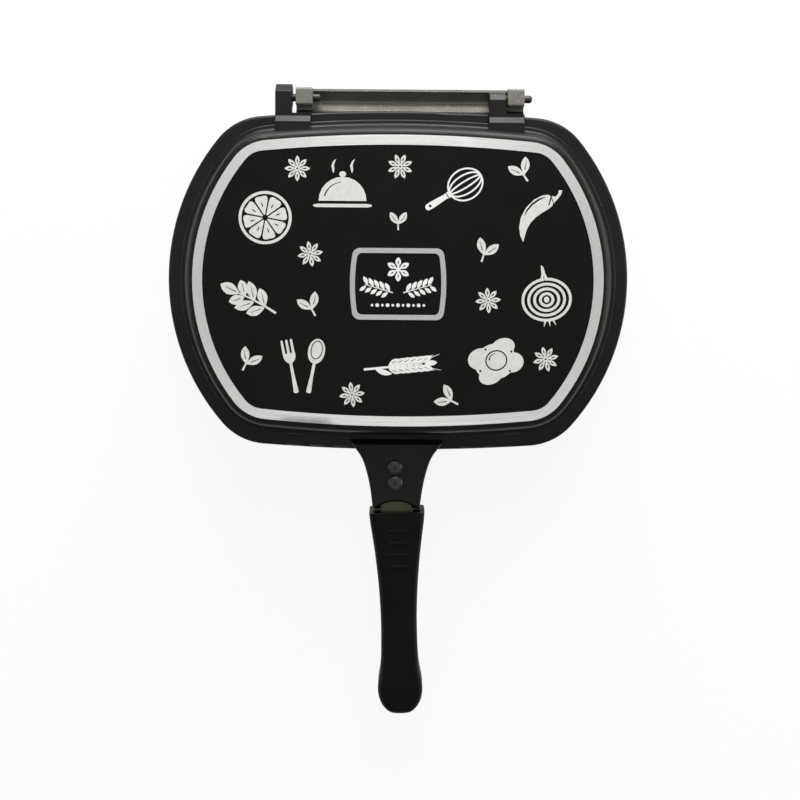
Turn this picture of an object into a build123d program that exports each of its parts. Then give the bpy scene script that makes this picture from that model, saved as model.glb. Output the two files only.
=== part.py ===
from build123d import *
import math
import os

os.makedirs("parts", exist_ok=True)

# Double sided flip pan, closed and lying on its lower base. Millimetres, +Z up, +X along the
# hinge pins, +Y toward the hinge. The origin is the centre of the lower base face.

# ---- Heights -------------------------------------------------------------------------------
half_height = 35.5          # base face to rim of one half
rim_gap = 1.0               # the seal keeps the rims this far apart
lower_rim_z = half_height
upper_rim_z = half_height + rim_gap
parting_z = half_height + rim_gap / 2
top_z = 2 * half_height + rim_gap
parting_plane = Plane.XY.offset(parting_z)

# ---- Plan of the pan body at the foot of its step ------------------------------------------
body_half_w = 169.3
body_half_d = 124.3
body_side_centre = 4.8      # the side arcs' centres, out from the middle
body_end_r = 1040.0
body_corner_r = 48.0

# ---- Plan of the flange, out from the body -------------------------------------------------
flange_side_lip = 10.1
flange_hinge_lip = 7.1
flange_handle_lip = 9.1
flange_side_centre = 6.0
flange_hinge_r = 1240.0
flange_handle_r = 1450.0
flange_corner_r = 47.3
flange_thick = 4.5
flange_edge_r = 2.4
flange_rim_r = 0.6
step_rise = 4.0
step_edge_r = 1.4
flange_hinge_y = body_half_d + flange_hinge_lip
flange_handle_y = -body_half_d - flange_handle_lip

# ---- Wall, base and cavity -----------------------------------------------------------------
wall_inset = 5.1            # step edge to the foot of the wall, before rounding
wall_draft = 9.0            # degrees from vertical
wall_foot_r = 3.4
crown_r = 6.0
wall_thick = 3.2
base_thick = 3.5
floor_r = 7.0
cavity_lip_r = 1.0

# ---- Machined ring and frame on the upper base ---------------------------------------------
ring_inset = 14.5
ring_w = 7.5
ring_inner_corner_r = 18.0
panel_recess = 0.4
frame_w = 72.6
frame_d = 54.0
frame_side_r = 140.0        # the sides bow out a little
frame_band = 3.8
frame_corner_r = 6.0
frame_y = -2.1
frame_x = 0.2

# ---- Grill ribs on the lower floor ---------------------------------------------------------
rib_w = 4.0
rib_h = 3.0
rib_pitch = 14.0
rib_inset = 24.0            # rib ends, in from the body's plan
rib_side_gap = 43.0         # last rib on each side, in from the body's plan
rib_count = 2 * round((body_half_w - rib_side_gap) / rib_pitch) + 1

# ---- Seal ----------------------------------------------------------------------------------
groove_w = 4.5
groove_depth = 2.5
groove_offset = 0.25        # groove's inner edge, outside the step's plan
seal_side_gap = 0.1
seal_height = groove_depth + rim_gap
seal_edge_r = 1.2

# ---- Hinge ---------------------------------------------------------------------------------
hinge_reach = 10.1          # axis out from the flange
hinge_y = flange_hinge_y + hinge_reach
hinge_x = 0.5
block_spacing = 165.15
block_w = 28.0
block_crest_dz = 11.5
block_dz = 8.0
block_inner_y = body_half_d - 10.8
block_crest_y = body_half_d - 2.3
block_slope_y = flange_hinge_y - 4.8
block_ledge_y = flange_hinge_y - 2.4
block_edge_r = 1.0
arm_w = 12.9
arm_edge_r = 0.8
left_arm_gap = 2.8
right_arm_gap = 1.4
right_arm_inset = 0.6
lug_w = 13.0
lug_front = 6.3             # lug's pan side, in from the axis
lug_back = 7.5
lug_top = 6.5
lug_corner_r = 2.0
lug_edge_r = 0.8
pin_d = 6.0
pin_clearance = 0.05        # radial, in arms and lugs
pin_skin = 2.0
pin_tail = 6.4
pin_end_r = 2.2

block_left_x = hinge_x - block_spacing / 2 - block_w / 2
block_right_x = hinge_x + block_spacing / 2 - block_w / 2
left_arm_x = block_left_x
right_arm_x = block_right_x + right_arm_inset
left_lug_x = left_arm_x + arm_w + left_arm_gap
right_lug_x = right_arm_x + arm_w + right_arm_gap

# ---- Trough between the lugs, measured from the hinge axis ---------------------------------
trough_root = hinge_reach + flange_hinge_lip + 8.8
trough_lip_out = hinge_reach + 0.9
trough_lip_in = trough_lip_out - 1.6
trough_lip_drop = 1.2
far_wall_in = 5.7
far_wall_drop = 3.5

# ---- Hood over the tang --------------------------------------------------------------------
handle_root_y = -body_half_d    # everything on the handle is placed from here
hood_top_dz = 12.5
hood_roof = 3.0
hood_ridge_dz = 8.8
hood_inner_y = handle_root_y + 3.3
hood_rise_y = handle_root_y + 0.1
hood_plateau_y = handle_root_y - 3.6
hood_end_y = handle_root_y - 56.0
hood_end_mid_y = hood_end_y + 7.2
hood_root_half_w = 36.0
hood_tip_half_w = 18.2
# each pair: share of the length gone, share of the narrowing still to come
hood_taper = ((0.084, 0.972), (0.255, 0.596), (0.464, 0.309), (0.673, 0.146), (0.860, 0.056))
hood_edge_r = 2.6
hood_tip_r = 1.5
hood_hollow_y = handle_root_y - 12.7
hood_hollow_w = 41.0
hood_mouth_w = 27.8
hood_hollow_r = 4.0

# ---- Handle axis ---------------------------------------------------------------------------
handle_x = -4.2
handle_lean = 1.5
handle_place = Location((handle_x, 0, 0), (0, 0, handle_lean))

# ---- Tang ----------------------------------------------------------------------------------
tang_start_y = handle_root_y - 14.7
tang_shoulder_y = hood_end_y - 5.7
tang_end_y = tang_shoulder_y - 59.0
tang_w = 25.0
tang_tip_w = 15.0
tang_thick = 1.8
tang_top_dz = hood_top_dz - hood_roof
tang_foot_dz = 3.0
tang_bend_r = 1.5

# ---- Bracket screws and nuts ---------------------------------------------------------------
screw_y = handle_root_y - 27.65
screw_pitch = 12.3
screw_x = -0.8
screw_head_d = 12.0
screw_head_h = 3.0
screw_shank_d = 5.0
screw_clearance = 0.1
screw_recess_w = 3.0
screw_recess_depth = 1.6
screw_foot_dz = 2.2
nut_flats = 8.0
nut_h = 4.0

# ---- Grip ----------------------------------------------------------------------------------
grip_face_dz = 0.5
grip_mouth_y = hood_end_y - 1.2
grip_mouth_half_w = 21.7
grip_mouth_dz = 15.0
grip_waist_y = grip_mouth_y - 84.5
grip_waist_half_w = 14.2
grip_waist_dz = 13.2
grip_bulb_y = grip_waist_y - 56.0
grip_bulb_half_w = 17.6
grip_bulb_dz = 14.2
grip_tip_y = grip_bulb_y - 20.1
grip_tip_dz = 13.0
# each pair: share of the length gone, share of the change in half width still to come
grip_taper = ((0.183, 0.773), (0.396, 0.460), (0.645, 0.193))
grip_swell = ((0.429, 0.941), (0.786, 0.500))
grip_round = ((0.423, 0.926), (0.746, 0.733), (0.920, 0.511))
grip_edge_r = 5.5
grip_bend_r = 90.0
grip_sole_r = 0.8
mouth_w = 36.0
mouth_floor_dz = 2.8
mouth_roof_dz = 12.2
mouth_end_y = grip_mouth_y - 8.5
mouth_corner_r = 3.0
mouth_lip_r = 0.8
socket_gap = 0.15
bar_count = 4
bar_pitch = 9.4
bar_first_y = grip_mouth_y - 14.2
bar_len = 15.0
bar_w = 2.2
bar_h = 0.5
bar_sink = 1.0
bar_edge_r = 0.4

# ---- Grip screw ----------------------------------------------------------------------------
grip_screw_y = grip_mouth_y - 33.5
grip_screw_head_d = 7.5
grip_screw_head_h = 2.6
grip_screw_head_dz = 1.0
grip_screw_d = 4.0
grip_screw_tip_dz = 12.6
grip_screw_gap = 0.1
grip_screw_slot_w = 1.0
grip_screw_slot_depth = 1.2

# ---- Magnet set ----------------------------------------------------------------------------
magnet_y = grip_bulb_y + 10.0
cup_d = 20.0
cup_h = 5.0
cup_wall = 1.2
cup_gap = 0.05
cup_chamfer = 0.5
cup_face_dz = 0.1           # each cup stands this far short of the parting plane
magnet_gap = 0.1
magnet_bore_d = 4.4
magnet_sink_d = 9.2
magnet_screw_head_d = 8.0
magnet_screw_d = 4.0
magnet_screw_head_dz = 0.35
magnet_screw_tip_dz = 11.5
magnet_screw_gap = 0.05
magnet_cross_len = 4.4
magnet_cross_w = 1.0
magnet_cross_depth = 1.2


def pan_outline(half_w, side_centre, back_y, back_r, front_y, front_r, corner_r):
    """Rounded sides and shallow end arcs with rounded corners, centred on the origin."""
    with BuildSketch() as plan:
        SlotOverall(2 * half_w, 2 * (half_w - side_centre))
        with Locations((0, back_y - back_r)):
            Circle(back_r, mode=Mode.INTERSECT)
        with Locations((0, front_y + front_r)):
            Circle(front_r, mode=Mode.INTERSECT)
        fillet(plan.vertices(), corner_r)
    return plan.sketch


def body_outline(inset):
    """Body plan brought in (or, below zero, out) by one even distance."""
    half_d = body_half_d - inset
    end_r = body_end_r - inset
    return pan_outline(
        body_half_w - inset, body_side_centre,
        half_d, end_r, -half_d, end_r, body_corner_r - inset,
    )


def frame_outline(inset):
    """Plan of the frame brought in by one distance."""
    with BuildSketch() as plan:
        Rectangle(frame_w, frame_d - 2 * inset)
        for side in (-1, 1):
            with Locations((side * (frame_side_r - frame_w / 2), 0)):
                Circle(frame_side_r - inset, mode=Mode.INTERSECT)
        fillet(plan.vertices(), frame_corner_r - inset / 2)
    return plan.sketch


def stations(start_y, end_y, start_half_w, end_half_w, shares):
    """Points of a curved side between two stations, from its pairs of shares."""
    return [
        (end_half_w + left * (start_half_w - end_half_w), start_y + gone * (end_y - start_y))
        for gone, left in shares
    ]


def about_axis(points):
    """Profile points given from the hinge axis as outward and upward distances."""
    return [(hinge_y + out, parting_z + up) for out, up in points]


def flipped(shape):
    """The same shape on the lower half."""
    return mirror(shape, about=parting_plane, mode=Mode.PRIVATE)


flange_plan = pan_outline(
    body_half_w + flange_side_lip, flange_side_centre, flange_hinge_y, flange_hinge_r,
    flange_handle_y, flange_handle_r, flange_corner_r,
)
flange_top_z = upper_rim_z + flange_thick
ridge_z = flange_top_z + step_rise
draft_tan = math.tan(math.radians(wall_draft))
draft_cos = math.cos(math.radians(wall_draft))
cavity_inset = wall_inset + wall_thick / draft_cos - (ridge_z - upper_rim_z) * draft_tan
floor_z = top_z - base_thick

# Outer shape of one half, in the place of the upper one.
with BuildPart() as dish:
    with BuildSketch(Plane.XY.offset(upper_rim_z)):
        add(flange_plan)
    extrude(amount=flange_thick)
    fillet(dish.edges().group_by(Axis.Z)[-1], flange_edge_r)
    fillet(dish.edges().group_by(Axis.Z)[0], flange_rim_r)
    with BuildSketch(Plane.XY.offset(flange_top_z)):
        add(body_outline(0))
    extrude(amount=step_rise)
    fillet(dish.edges().group_by(Axis.Z)[-1], step_edge_r)
    with BuildSketch(Plane.XY.offset(ridge_z)):
        add(body_outline(wall_inset))
    extrude(amount=top_z - ridge_z, taper=wall_draft)
    fillet(dish.edges().group_by(Axis.Z)[-1], crown_r)
    wall_foot = body_outline(wall_inset).wire().moved(Location((0, 0, ridge_z)))
    foot_edges = [
        e for e in dish.edges()
        if abs(e.bounding_box().max.Z - ridge_z) < 0.01 and wall_foot.distance_to(e @ 0.5) < 0.05
    ]
    fillet(foot_edges, wall_foot_r)

# Hollow of one half, in the place of the upper one.
with BuildPart() as cavity:
    with BuildSketch(Plane.XY.offset(floor_z)):
        add(body_outline(cavity_inset + (floor_z - upper_rim_z) * draft_tan))
    extrude(amount=upper_rim_z - floor_z, taper=-wall_draft)
    fillet(cavity.edges().group_by(Axis.Z)[-1], floor_r)

cavity_lip = body_outline(cavity_inset).wire()

# Hood that covers the tang where it is bolted on.
with BuildPart() as hood:
    with BuildSketch(Plane.XY.offset(upper_rim_z)) as hood_plan:
        with BuildLine():
            right_side = Spline(
                (hood_root_half_w, hood_inner_y),
                *stations(hood_inner_y, hood_end_y, hood_root_half_w, hood_tip_half_w, hood_taper),
                (hood_tip_half_w, hood_end_y),
            )
            left_side = mirror(right_side, about=Plane.YZ)
            ThreePointArc(right_side @ 1, (0, hood_end_mid_y), left_side @ 1)
            Line(right_side @ 0, left_side @ 0)
        make_face()
        fillet(hood_plan.vertices().sort_by(Axis.Y)[:2], hood_tip_r)
    extrude(amount=hood_top_dz - rim_gap / 2)
    side_edges = [
        e for e in hood.edges().group_by(Axis.Z)[-1] if (e @ 0.5).Y < hood_inner_y - 1
    ]
    fillet(side_edges, hood_edge_r)
    with BuildSketch(Plane.YZ):
        with BuildLine():
            Polyline(
                (hood_inner_y + 1, upper_rim_z - 1),
                (hood_inner_y + 1, parting_z + hood_ridge_dz),
                (hood_rise_y, parting_z + hood_ridge_dz),
                (hood_plateau_y, parting_z + hood_top_dz),
                (hood_end_y - 5, parting_z + hood_top_dz),
                (hood_end_y - 5, upper_rim_z - 1),
                close=True,
            )
        make_face()
    extrude(amount=2 * body_half_w, both=True, mode=Mode.INTERSECT)

with BuildPart() as hood_hollow:
    with BuildSketch(Plane.XY.offset(upper_rim_z - 1)):
        with BuildLine():
            Polyline(
                (hood_hollow_w / 2, hood_hollow_y),
                (hood_mouth_w / 2, hood_end_y - 3),
                (-hood_mouth_w / 2, hood_end_y - 3),
                (-hood_hollow_w / 2, hood_hollow_y),
                close=True,
            )
        make_face()
    extrude(amount=parting_z + tang_top_dz - upper_rim_z + 1)
    fillet(hood_hollow.edges().filter_by(Axis.Z).group_by(Axis.Y)[-1], hood_hollow_r)

with BuildPart() as bracket_holes:
    with BuildSketch(Plane.XY.offset(parting_z + screw_foot_dz)):
        with Locations((screw_x, screw_y)):
            with GridLocations(0, screw_pitch, 1, 2):
                Circle(screw_shank_d / 2 + screw_clearance)
    extrude(amount=hood_top_dz)

# ---- Upper pan -----------------------------------------------------------------------------
block_profile = about_axis([
    (block_inner_y - hinge_y, block_crest_dz),
    (block_crest_y - hinge_y, block_crest_dz),
    (block_slope_y - hinge_y, block_dz),
    (block_ledge_y - hinge_y, block_dz),
    (block_ledge_y - hinge_y, rim_gap / 2),
    (block_inner_y - hinge_y, rim_gap / 2),
])
arm_root = block_slope_y - hinge_y
left_arm_profile = about_axis([
    (arm_root, block_dz), (4.1, block_dz), (10.6, 0.8), (8.2, -5.2), (2.0, -6.5),
    (-5.0, -5.5), (-8.6, rim_gap / 2), (arm_root, rim_gap / 2),
])
right_arm_profile = about_axis([
    (arm_root, block_dz), (-1.5, block_dz), (3.2, 5.0), (5.2, 0.5), (4.6, -3.2),
    (2.0, -5.4), (-5.0, -5.2), (-8.6, rim_gap / 2), (arm_root, rim_gap / 2),
])

with BuildPart() as left_arm:
    with BuildSketch(Plane.YZ.offset(left_arm_x)) as left_arm_side:
        with BuildLine():
            Polyline(*left_arm_profile, close=True)
        make_face()
        fillet(left_arm_side.vertices().filter_by_position(Axis.X, hinge_y, hinge_y + 12), 1.5)
    extrude(amount=arm_w)
    fillet(left_arm.faces().sort_by(Axis.X)[0].edges(), arm_edge_r)
    fillet(left_arm.faces().sort_by(Axis.X)[-1].edges(), arm_edge_r)

with BuildPart() as right_arm:
    with BuildSketch(Plane.YZ.offset(right_arm_x)) as right_arm_side:
        with BuildLine():
            Polyline(*right_arm_profile, close=True)
        make_face()
        fillet(right_arm_side.vertices().filter_by_position(Axis.X, hinge_y - 3, hinge_y + 12), 1.0)
    extrude(amount=arm_w)
    fillet(right_arm.faces().sort_by(Axis.X)[0].edges(), arm_edge_r)
    fillet(right_arm.faces().sort_by(Axis.X)[-1].edges(), arm_edge_r)

with BuildPart() as block:
    with BuildSketch(Plane.YZ):
        with BuildLine():
            Polyline(*block_profile, close=True)
        make_face()
    extrude(amount=block_w)
    top_side_edges = [
        e for e in block.edges().filter_by(Plane.YZ) if (e @ 0.5).Z > parting_z + block_dz - 0.1
    ]
    fillet(top_side_edges, block_edge_r)

with BuildPart() as upper_pan:
    add(dish.part)
    with Locations((block_left_x, 0, 0), (block_right_x, 0, 0)):
        add(block.part)
    add(left_arm.part)
    add(right_arm.part)
    add(hood.part)
    add(cavity.part, mode=Mode.SUBTRACT)
    add(hood_hollow.part, mode=Mode.SUBTRACT)
    with Locations(handle_place):
        add(bracket_holes.part, mode=Mode.SUBTRACT)
    # groove for the seal
    with BuildSketch(Plane.XY.offset(upper_rim_z)):
        add(body_outline(-groove_offset - groove_w))
        add(body_outline(-groove_offset), mode=Mode.SUBTRACT)
    extrude(amount=groove_depth, mode=Mode.SUBTRACT)
    # panel recessed between ring and frame, and inside the frame
    with BuildSketch(Plane.XY.offset(top_z)):
        ring_in = ring_inset + ring_w
        add(pan_outline(
            body_half_w - ring_in, body_side_centre,
            body_half_d - ring_in, body_end_r - ring_in,
            ring_in - body_half_d, body_end_r - ring_in, ring_inner_corner_r,
        ))
        with Locations((frame_x, frame_y)):
            add(frame_outline(0), mode=Mode.SUBTRACT)
            add(frame_outline(frame_band))
    extrude(amount=-panel_recess, mode=Mode.SUBTRACT)
    lip = cavity_lip.moved(Location((0, 0, upper_rim_z)))
    fillet([
        e for e in upper_pan.edges().filter_by_position(Axis.Z, upper_rim_z, upper_rim_z)
        if lip.distance_to(e @ 0.5) < 0.05
    ], cavity_lip_r)
    # blind bores for the pins
    with BuildSketch(Plane.YZ.offset(left_arm_x + pin_skin)):
        with Locations((hinge_y, parting_z)):
            Circle(pin_d / 2 + pin_clearance)
    extrude(amount=arm_w, mode=Mode.SUBTRACT)
    with BuildSketch(Plane.YZ.offset(right_arm_x + pin_skin)):
        with Locations((hinge_y, parting_z)):
            Circle(pin_d / 2 + pin_clearance)
    extrude(amount=arm_w, mode=Mode.SUBTRACT)

# ---- Lower pan -----------------------------------------------------------------------------
trough_outer = about_axis([
    (-trough_root, -rim_gap / 2), (-trough_lip_out, -rim_gap / 2),
    (-trough_lip_in, -trough_lip_drop), (lug_back, -far_wall_drop),
    (lug_back, -9.3), (3.5, -13.5), (-3.6, -12.6), (-11.5, -5.0), (-trough_root, -5.0),
])
trough_inner = about_axis([
    (-trough_lip_in, -trough_lip_drop), (-2.5, -9.9), (2.0, -11.5),
    (far_wall_in, -8.5), (far_wall_in, 20.0), (-trough_lip_in, 20.0),
])
lug_profile = about_axis([
    (-lug_front, -5.0), (-lug_front, lug_top), (lug_back, lug_top), (lug_back, -8.0),
])

with BuildPart() as lug:
    with BuildSketch(Plane.YZ) as lug_side:
        with BuildLine():
            Polyline(*lug_profile, close=True)
        make_face()
        fillet(lug_side.vertices().sort_by(Axis.Y)[-2:], lug_corner_r)
    extrude(amount=lug_w)
    for lug_face in (lug.faces().sort_by(Axis.X)[0], lug.faces().sort_by(Axis.X)[-1]):
        top_edges = [e for e in lug_face.edges() if (e @ 0.5).Z > parting_z]
        fillet(top_edges, lug_edge_r)

with BuildPart() as lower_pan:
    add(flipped(dish.part))
    with BuildSketch(Plane.YZ.offset(left_lug_x)):
        with BuildLine():
            Polyline(*trough_outer, close=True)
        make_face()
    extrude(amount=right_lug_x + lug_w - left_lug_x)
    with BuildSketch(Plane.YZ.offset(left_lug_x + lug_w)):
        with BuildLine():
            Polyline(*trough_inner, close=True)
        make_face()
    extrude(amount=right_lug_x - left_lug_x - lug_w, mode=Mode.SUBTRACT)
    with Locations((left_lug_x, 0, 0), (right_lug_x, 0, 0)):
        add(lug.part)
    add(flipped(hood.part))
    add(flipped(cavity.part), mode=Mode.SUBTRACT)
    add(flipped(hood_hollow.part), mode=Mode.SUBTRACT)
    with Locations(handle_place):
        add(flipped(bracket_holes.part), mode=Mode.SUBTRACT)
    for lug_x in (left_lug_x, right_lug_x):
        with BuildSketch(Plane.YZ.offset(lug_x - 1)):
            with Locations((hinge_y, parting_z)):
                Circle(pin_d / 2 + pin_clearance)
        extrude(amount=lug_w + 2, mode=Mode.SUBTRACT)
    with BuildSketch(Plane.XY.offset(base_thick)):
        add(body_outline(rib_inset))
        with GridLocations(rib_pitch, 0, rib_count, 1):
            Rectangle(rib_w, 2 * body_half_d, mode=Mode.INTERSECT)
    extrude(amount=rib_h)
    lip = cavity_lip.moved(Location((0, 0, lower_rim_z)))
    fillet([
        e for e in lower_pan.edges().filter_by_position(Axis.Z, lower_rim_z, lower_rim_z)
        if lip.distance_to(e @ 0.5) < 0.05
    ], cavity_lip_r)


# ---- Seal ----------------------------------------------------------------------------------
seal_in = groove_offset + seal_side_gap
seal_out = groove_offset + groove_w - seal_side_gap
with BuildPart() as rim_gasket:
    with BuildSketch(Plane.XY.offset(lower_rim_z)):
        add(body_outline(-seal_out))
        add(body_outline(-seal_in), mode=Mode.SUBTRACT)
    extrude(amount=seal_height)
    fillet(rim_gasket.edges().group_by(Axis.Z)[0], seal_edge_r)

# ---- Hinge pins ----------------------------------------------------------------------------
with BuildPart() as hinge_pin_left:
    with BuildSketch(Plane.YZ.offset(left_arm_x + pin_skin)):
        with Locations((hinge_y, parting_z)):
            Circle(pin_d / 2)
    extrude(amount=left_lug_x + lug_w + pin_tail - left_arm_x - pin_skin)
    fillet(hinge_pin_left.edges().group_by(Axis.X)[-1], pin_end_r)

with BuildPart() as hinge_pin_right:
    with BuildSketch(Plane.YZ.offset(right_arm_x + pin_skin)):
        with Locations((hinge_y, parting_z)):
            Circle(pin_d / 2)
    extrude(amount=right_lug_x + lug_w + pin_tail - right_arm_x - pin_skin)
    fillet(hinge_pin_right.edges().group_by(Axis.X)[-1], pin_end_r)


# ---- Tang ----------------------------------------------------------------------------------
def tang_outline(side, start_y, end_y):
    """Plan of the tang, each side moved out by one distance, between two stations."""
    half = tang_w / 2 + side
    slope = (tang_w - tang_tip_w) / 2 / (tang_shoulder_y - tang_end_y)
    tip = half - slope * (tang_shoulder_y - end_y)
    with BuildSketch() as plan:
        with BuildLine():
            Polyline(
                (half, start_y), (half, tang_shoulder_y), (tip, end_y),
                (-tip, end_y), (-half, tang_shoulder_y), (-half, start_y), close=True,
            )
        make_face()
    return plan.sketch


with BuildPart() as tang:
    with BuildSketch(Plane.XY.offset(parting_z + tang_foot_dz)):
        add(tang_outline(0, tang_start_y, tang_end_y))
    extrude(amount=tang_top_dz - tang_foot_dz)
    bend_edges = [
        e for e in tang.edges().group_by(Axis.Z)[-1] if abs((e @ 0.5).X) > tang_thick
    ]
    fillet(bend_edges, tang_bend_r)
    with BuildSketch(Plane.XY.offset(parting_z + tang_foot_dz)):
        add(tang_outline(-tang_thick, tang_start_y + 1, tang_end_y - 1))
    extrude(amount=tang_top_dz - tang_thick - tang_foot_dz, mode=Mode.SUBTRACT)
    with BuildSketch(Plane.XY.offset(parting_z + tang_foot_dz)):
        with Locations((screw_x, screw_y)):
            with GridLocations(0, screw_pitch, 1, 2):
                Circle(screw_shank_d / 2 + screw_clearance)
        with Locations((0, grip_screw_y)):
            Circle(grip_screw_d / 2 + grip_screw_gap)
    extrude(amount=tang_top_dz, mode=Mode.SUBTRACT)

# ---- One bracket screw and nut -------------------------------------------------------------
with BuildPart() as bracket_screw:
    with BuildSketch(Plane.XY.offset(parting_z + hood_top_dz)):
        Circle(screw_head_d / 2)
    extrude(amount=screw_head_h)
    fillet(bracket_screw.edges().group_by(Axis.Z)[-1], screw_head_h - 0.4)
    with BuildSketch(Plane.XY.offset(parting_z + screw_foot_dz)):
        Circle(screw_shank_d / 2)
    extrude(amount=hood_top_dz - screw_foot_dz)
    with BuildSketch(Plane.XY.offset(parting_z + hood_top_dz + screw_head_h)):
        RegularPolygon(screw_recess_w / 2, 6, major_radius=False)
    extrude(amount=-screw_recess_depth, mode=Mode.SUBTRACT)

with BuildPart() as bracket_nut:
    with BuildSketch(Plane.XY.offset(parting_z + tang_top_dz - tang_thick)):
        RegularPolygon(nut_flats / 2, 6, major_radius=False)
        Circle(screw_shank_d / 2, mode=Mode.SUBTRACT)
    extrude(amount=-nut_h)

screw_spots = (
    Location((screw_x, screw_y - screw_pitch / 2, 0)),
    Location((screw_x, screw_y + screw_pitch / 2, 0)),
)

# ---- Grip half -----------------------------------------------------------------------------
bar_slope = math.degrees(
    math.atan((grip_mouth_dz - grip_waist_dz) / (grip_mouth_y - grip_waist_y))
)
bar_plane = Plane(
    origin=(0, grip_mouth_y, parting_z + grip_mouth_dz), x_dir=(1, 0, 0),
    z_dir=(0, -math.sin(math.radians(bar_slope)), math.cos(math.radians(bar_slope))),
)

# raised bars across the top of the grip, near its mouth
with BuildPart() as bars:
    with BuildSketch(bar_plane.offset(-bar_sink)):
        with Locations((0, bar_first_y - grip_mouth_y - bar_pitch * (bar_count - 1) / 2)):
            with GridLocations(0, bar_pitch, 1, bar_count):
                SlotOverall(bar_len, bar_w)
    extrude(amount=bar_sink + bar_h)
    for bar in bars.solids():
        fillet(bar.faces().sort_by(Axis(bar_plane.origin, bar_plane.z_dir))[-1].edges(), bar_edge_r)

with BuildPart() as grip:
    with BuildSketch(Plane.XY.offset(parting_z + grip_face_dz)):
        with BuildLine():
            rim_line = Spline(
                (grip_mouth_half_w, grip_mouth_y),
                *stations(
                    grip_mouth_y, grip_waist_y, grip_mouth_half_w, grip_waist_half_w, grip_taper
                ),
                (grip_waist_half_w, grip_waist_y),
                *stations(
                    grip_waist_y, grip_bulb_y, grip_waist_half_w, grip_bulb_half_w, grip_swell
                ),
                (grip_bulb_half_w, grip_bulb_y),
                *stations(grip_bulb_y, grip_tip_y, grip_bulb_half_w, 0, grip_round),
                (0, grip_tip_y),
                tangents=((-0.04, -1), (-1, 0)),
            )
            mirror(rim_line, about=Plane.YZ)
            Line(rim_line @ 0, (-grip_mouth_half_w, grip_mouth_y))
        make_face()
    extrude(amount=grip_mouth_dz + 1)
    with BuildSketch(Plane.YZ) as grip_side:
        with BuildLine():
            Polyline(
                (grip_mouth_y + 1, parting_z),
                (grip_mouth_y + 1, parting_z + grip_mouth_dz),
                (grip_waist_y, parting_z + grip_waist_dz),
                (grip_bulb_y, parting_z + grip_bulb_dz),
                (grip_tip_y - 1, parting_z + grip_tip_dz),
                (grip_tip_y - 1, parting_z),
                close=True,
            )
        make_face()
        fillet(grip_side.vertices().filter_by_position(
            Axis.Y, parting_z + grip_waist_dz - 0.1, parting_z + grip_bulb_dz + 0.1,
        ).filter_by_position(Axis.X, grip_tip_y + 1, grip_mouth_y - 1), grip_bend_r)
    extrude(amount=grip_mouth_half_w + 5, both=True, mode=Mode.INTERSECT)
    crown = [
        e for e in grip.edges().filter_by(GeomType.BSPLINE)
        if e.center().Z > parting_z + grip_face_dz + 1
    ]
    fillet(crown, grip_edge_r)
    sole = [
        e for e in grip.edges().group_by(Axis.Z)[0] if (e @ 0.5).Y < grip_mouth_y - 1
    ]
    fillet(sole, grip_sole_r)
    add(bars.part)
    # narrow socket round the tang, with a core between its legs, then the open mouth
    with BuildSketch(Plane.XY.offset(parting_z + mouth_floor_dz)):
        add(tang_outline(socket_gap, grip_mouth_y + 1, tang_end_y - socket_gap))
    extrude(amount=tang_top_dz + socket_gap - mouth_floor_dz, mode=Mode.SUBTRACT)
    with BuildSketch(Plane.XY.offset(parting_z + grip_face_dz + 1)):
        add(tang_outline(-tang_thick - socket_gap, tang_shoulder_y + 1, tang_end_y - 1))
    extrude(amount=tang_top_dz - tang_thick - socket_gap - grip_face_dz - 1)
    with BuildSketch(Plane.XZ.offset(-mouth_end_y)):
        with Locations((0, parting_z + (mouth_floor_dz + mouth_roof_dz) / 2)):
            RectangleRounded(mouth_w, mouth_roof_dz - mouth_floor_dz, mouth_corner_r)
    extrude(amount=mouth_end_y - grip_mouth_y - 1, mode=Mode.SUBTRACT)
    mouth_face = grip.faces().sort_by(Axis.Y)[-1]
    fillet(mouth_face.inner_wires()[0].edges(), mouth_lip_r)
    # grip screw, counterbored from the flat face
    with BuildSketch(Plane.XY.offset(parting_z + grip_face_dz)):
        with Locations((0, grip_screw_y)):
            Circle(grip_screw_head_d / 2 + grip_screw_gap)
    extrude(amount=grip_screw_head_dz + grip_screw_head_h - grip_face_dz, mode=Mode.SUBTRACT)
    with BuildSketch(Plane.XY.offset(parting_z + grip_face_dz)):
        with Locations((0, grip_screw_y)):
            Circle(grip_screw_d / 2 + grip_screw_gap)
    extrude(amount=grip_screw_tip_dz + grip_screw_gap - grip_face_dz, mode=Mode.SUBTRACT)
    # pocket for the magnet set
    with BuildSketch(Plane.XY.offset(parting_z + grip_face_dz)):
        with Locations((0, magnet_y)):
            Circle(cup_d / 2 + cup_gap)
    extrude(amount=cup_face_dz + cup_h - grip_face_dz, mode=Mode.SUBTRACT)
    with BuildSketch(Plane.XY.offset(parting_z + grip_face_dz)):
        with Locations((0, magnet_y)):
            Circle(magnet_screw_d / 2 + magnet_screw_gap)
    extrude(amount=magnet_screw_tip_dz + grip_screw_gap - grip_face_dz, mode=Mode.SUBTRACT)

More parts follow.
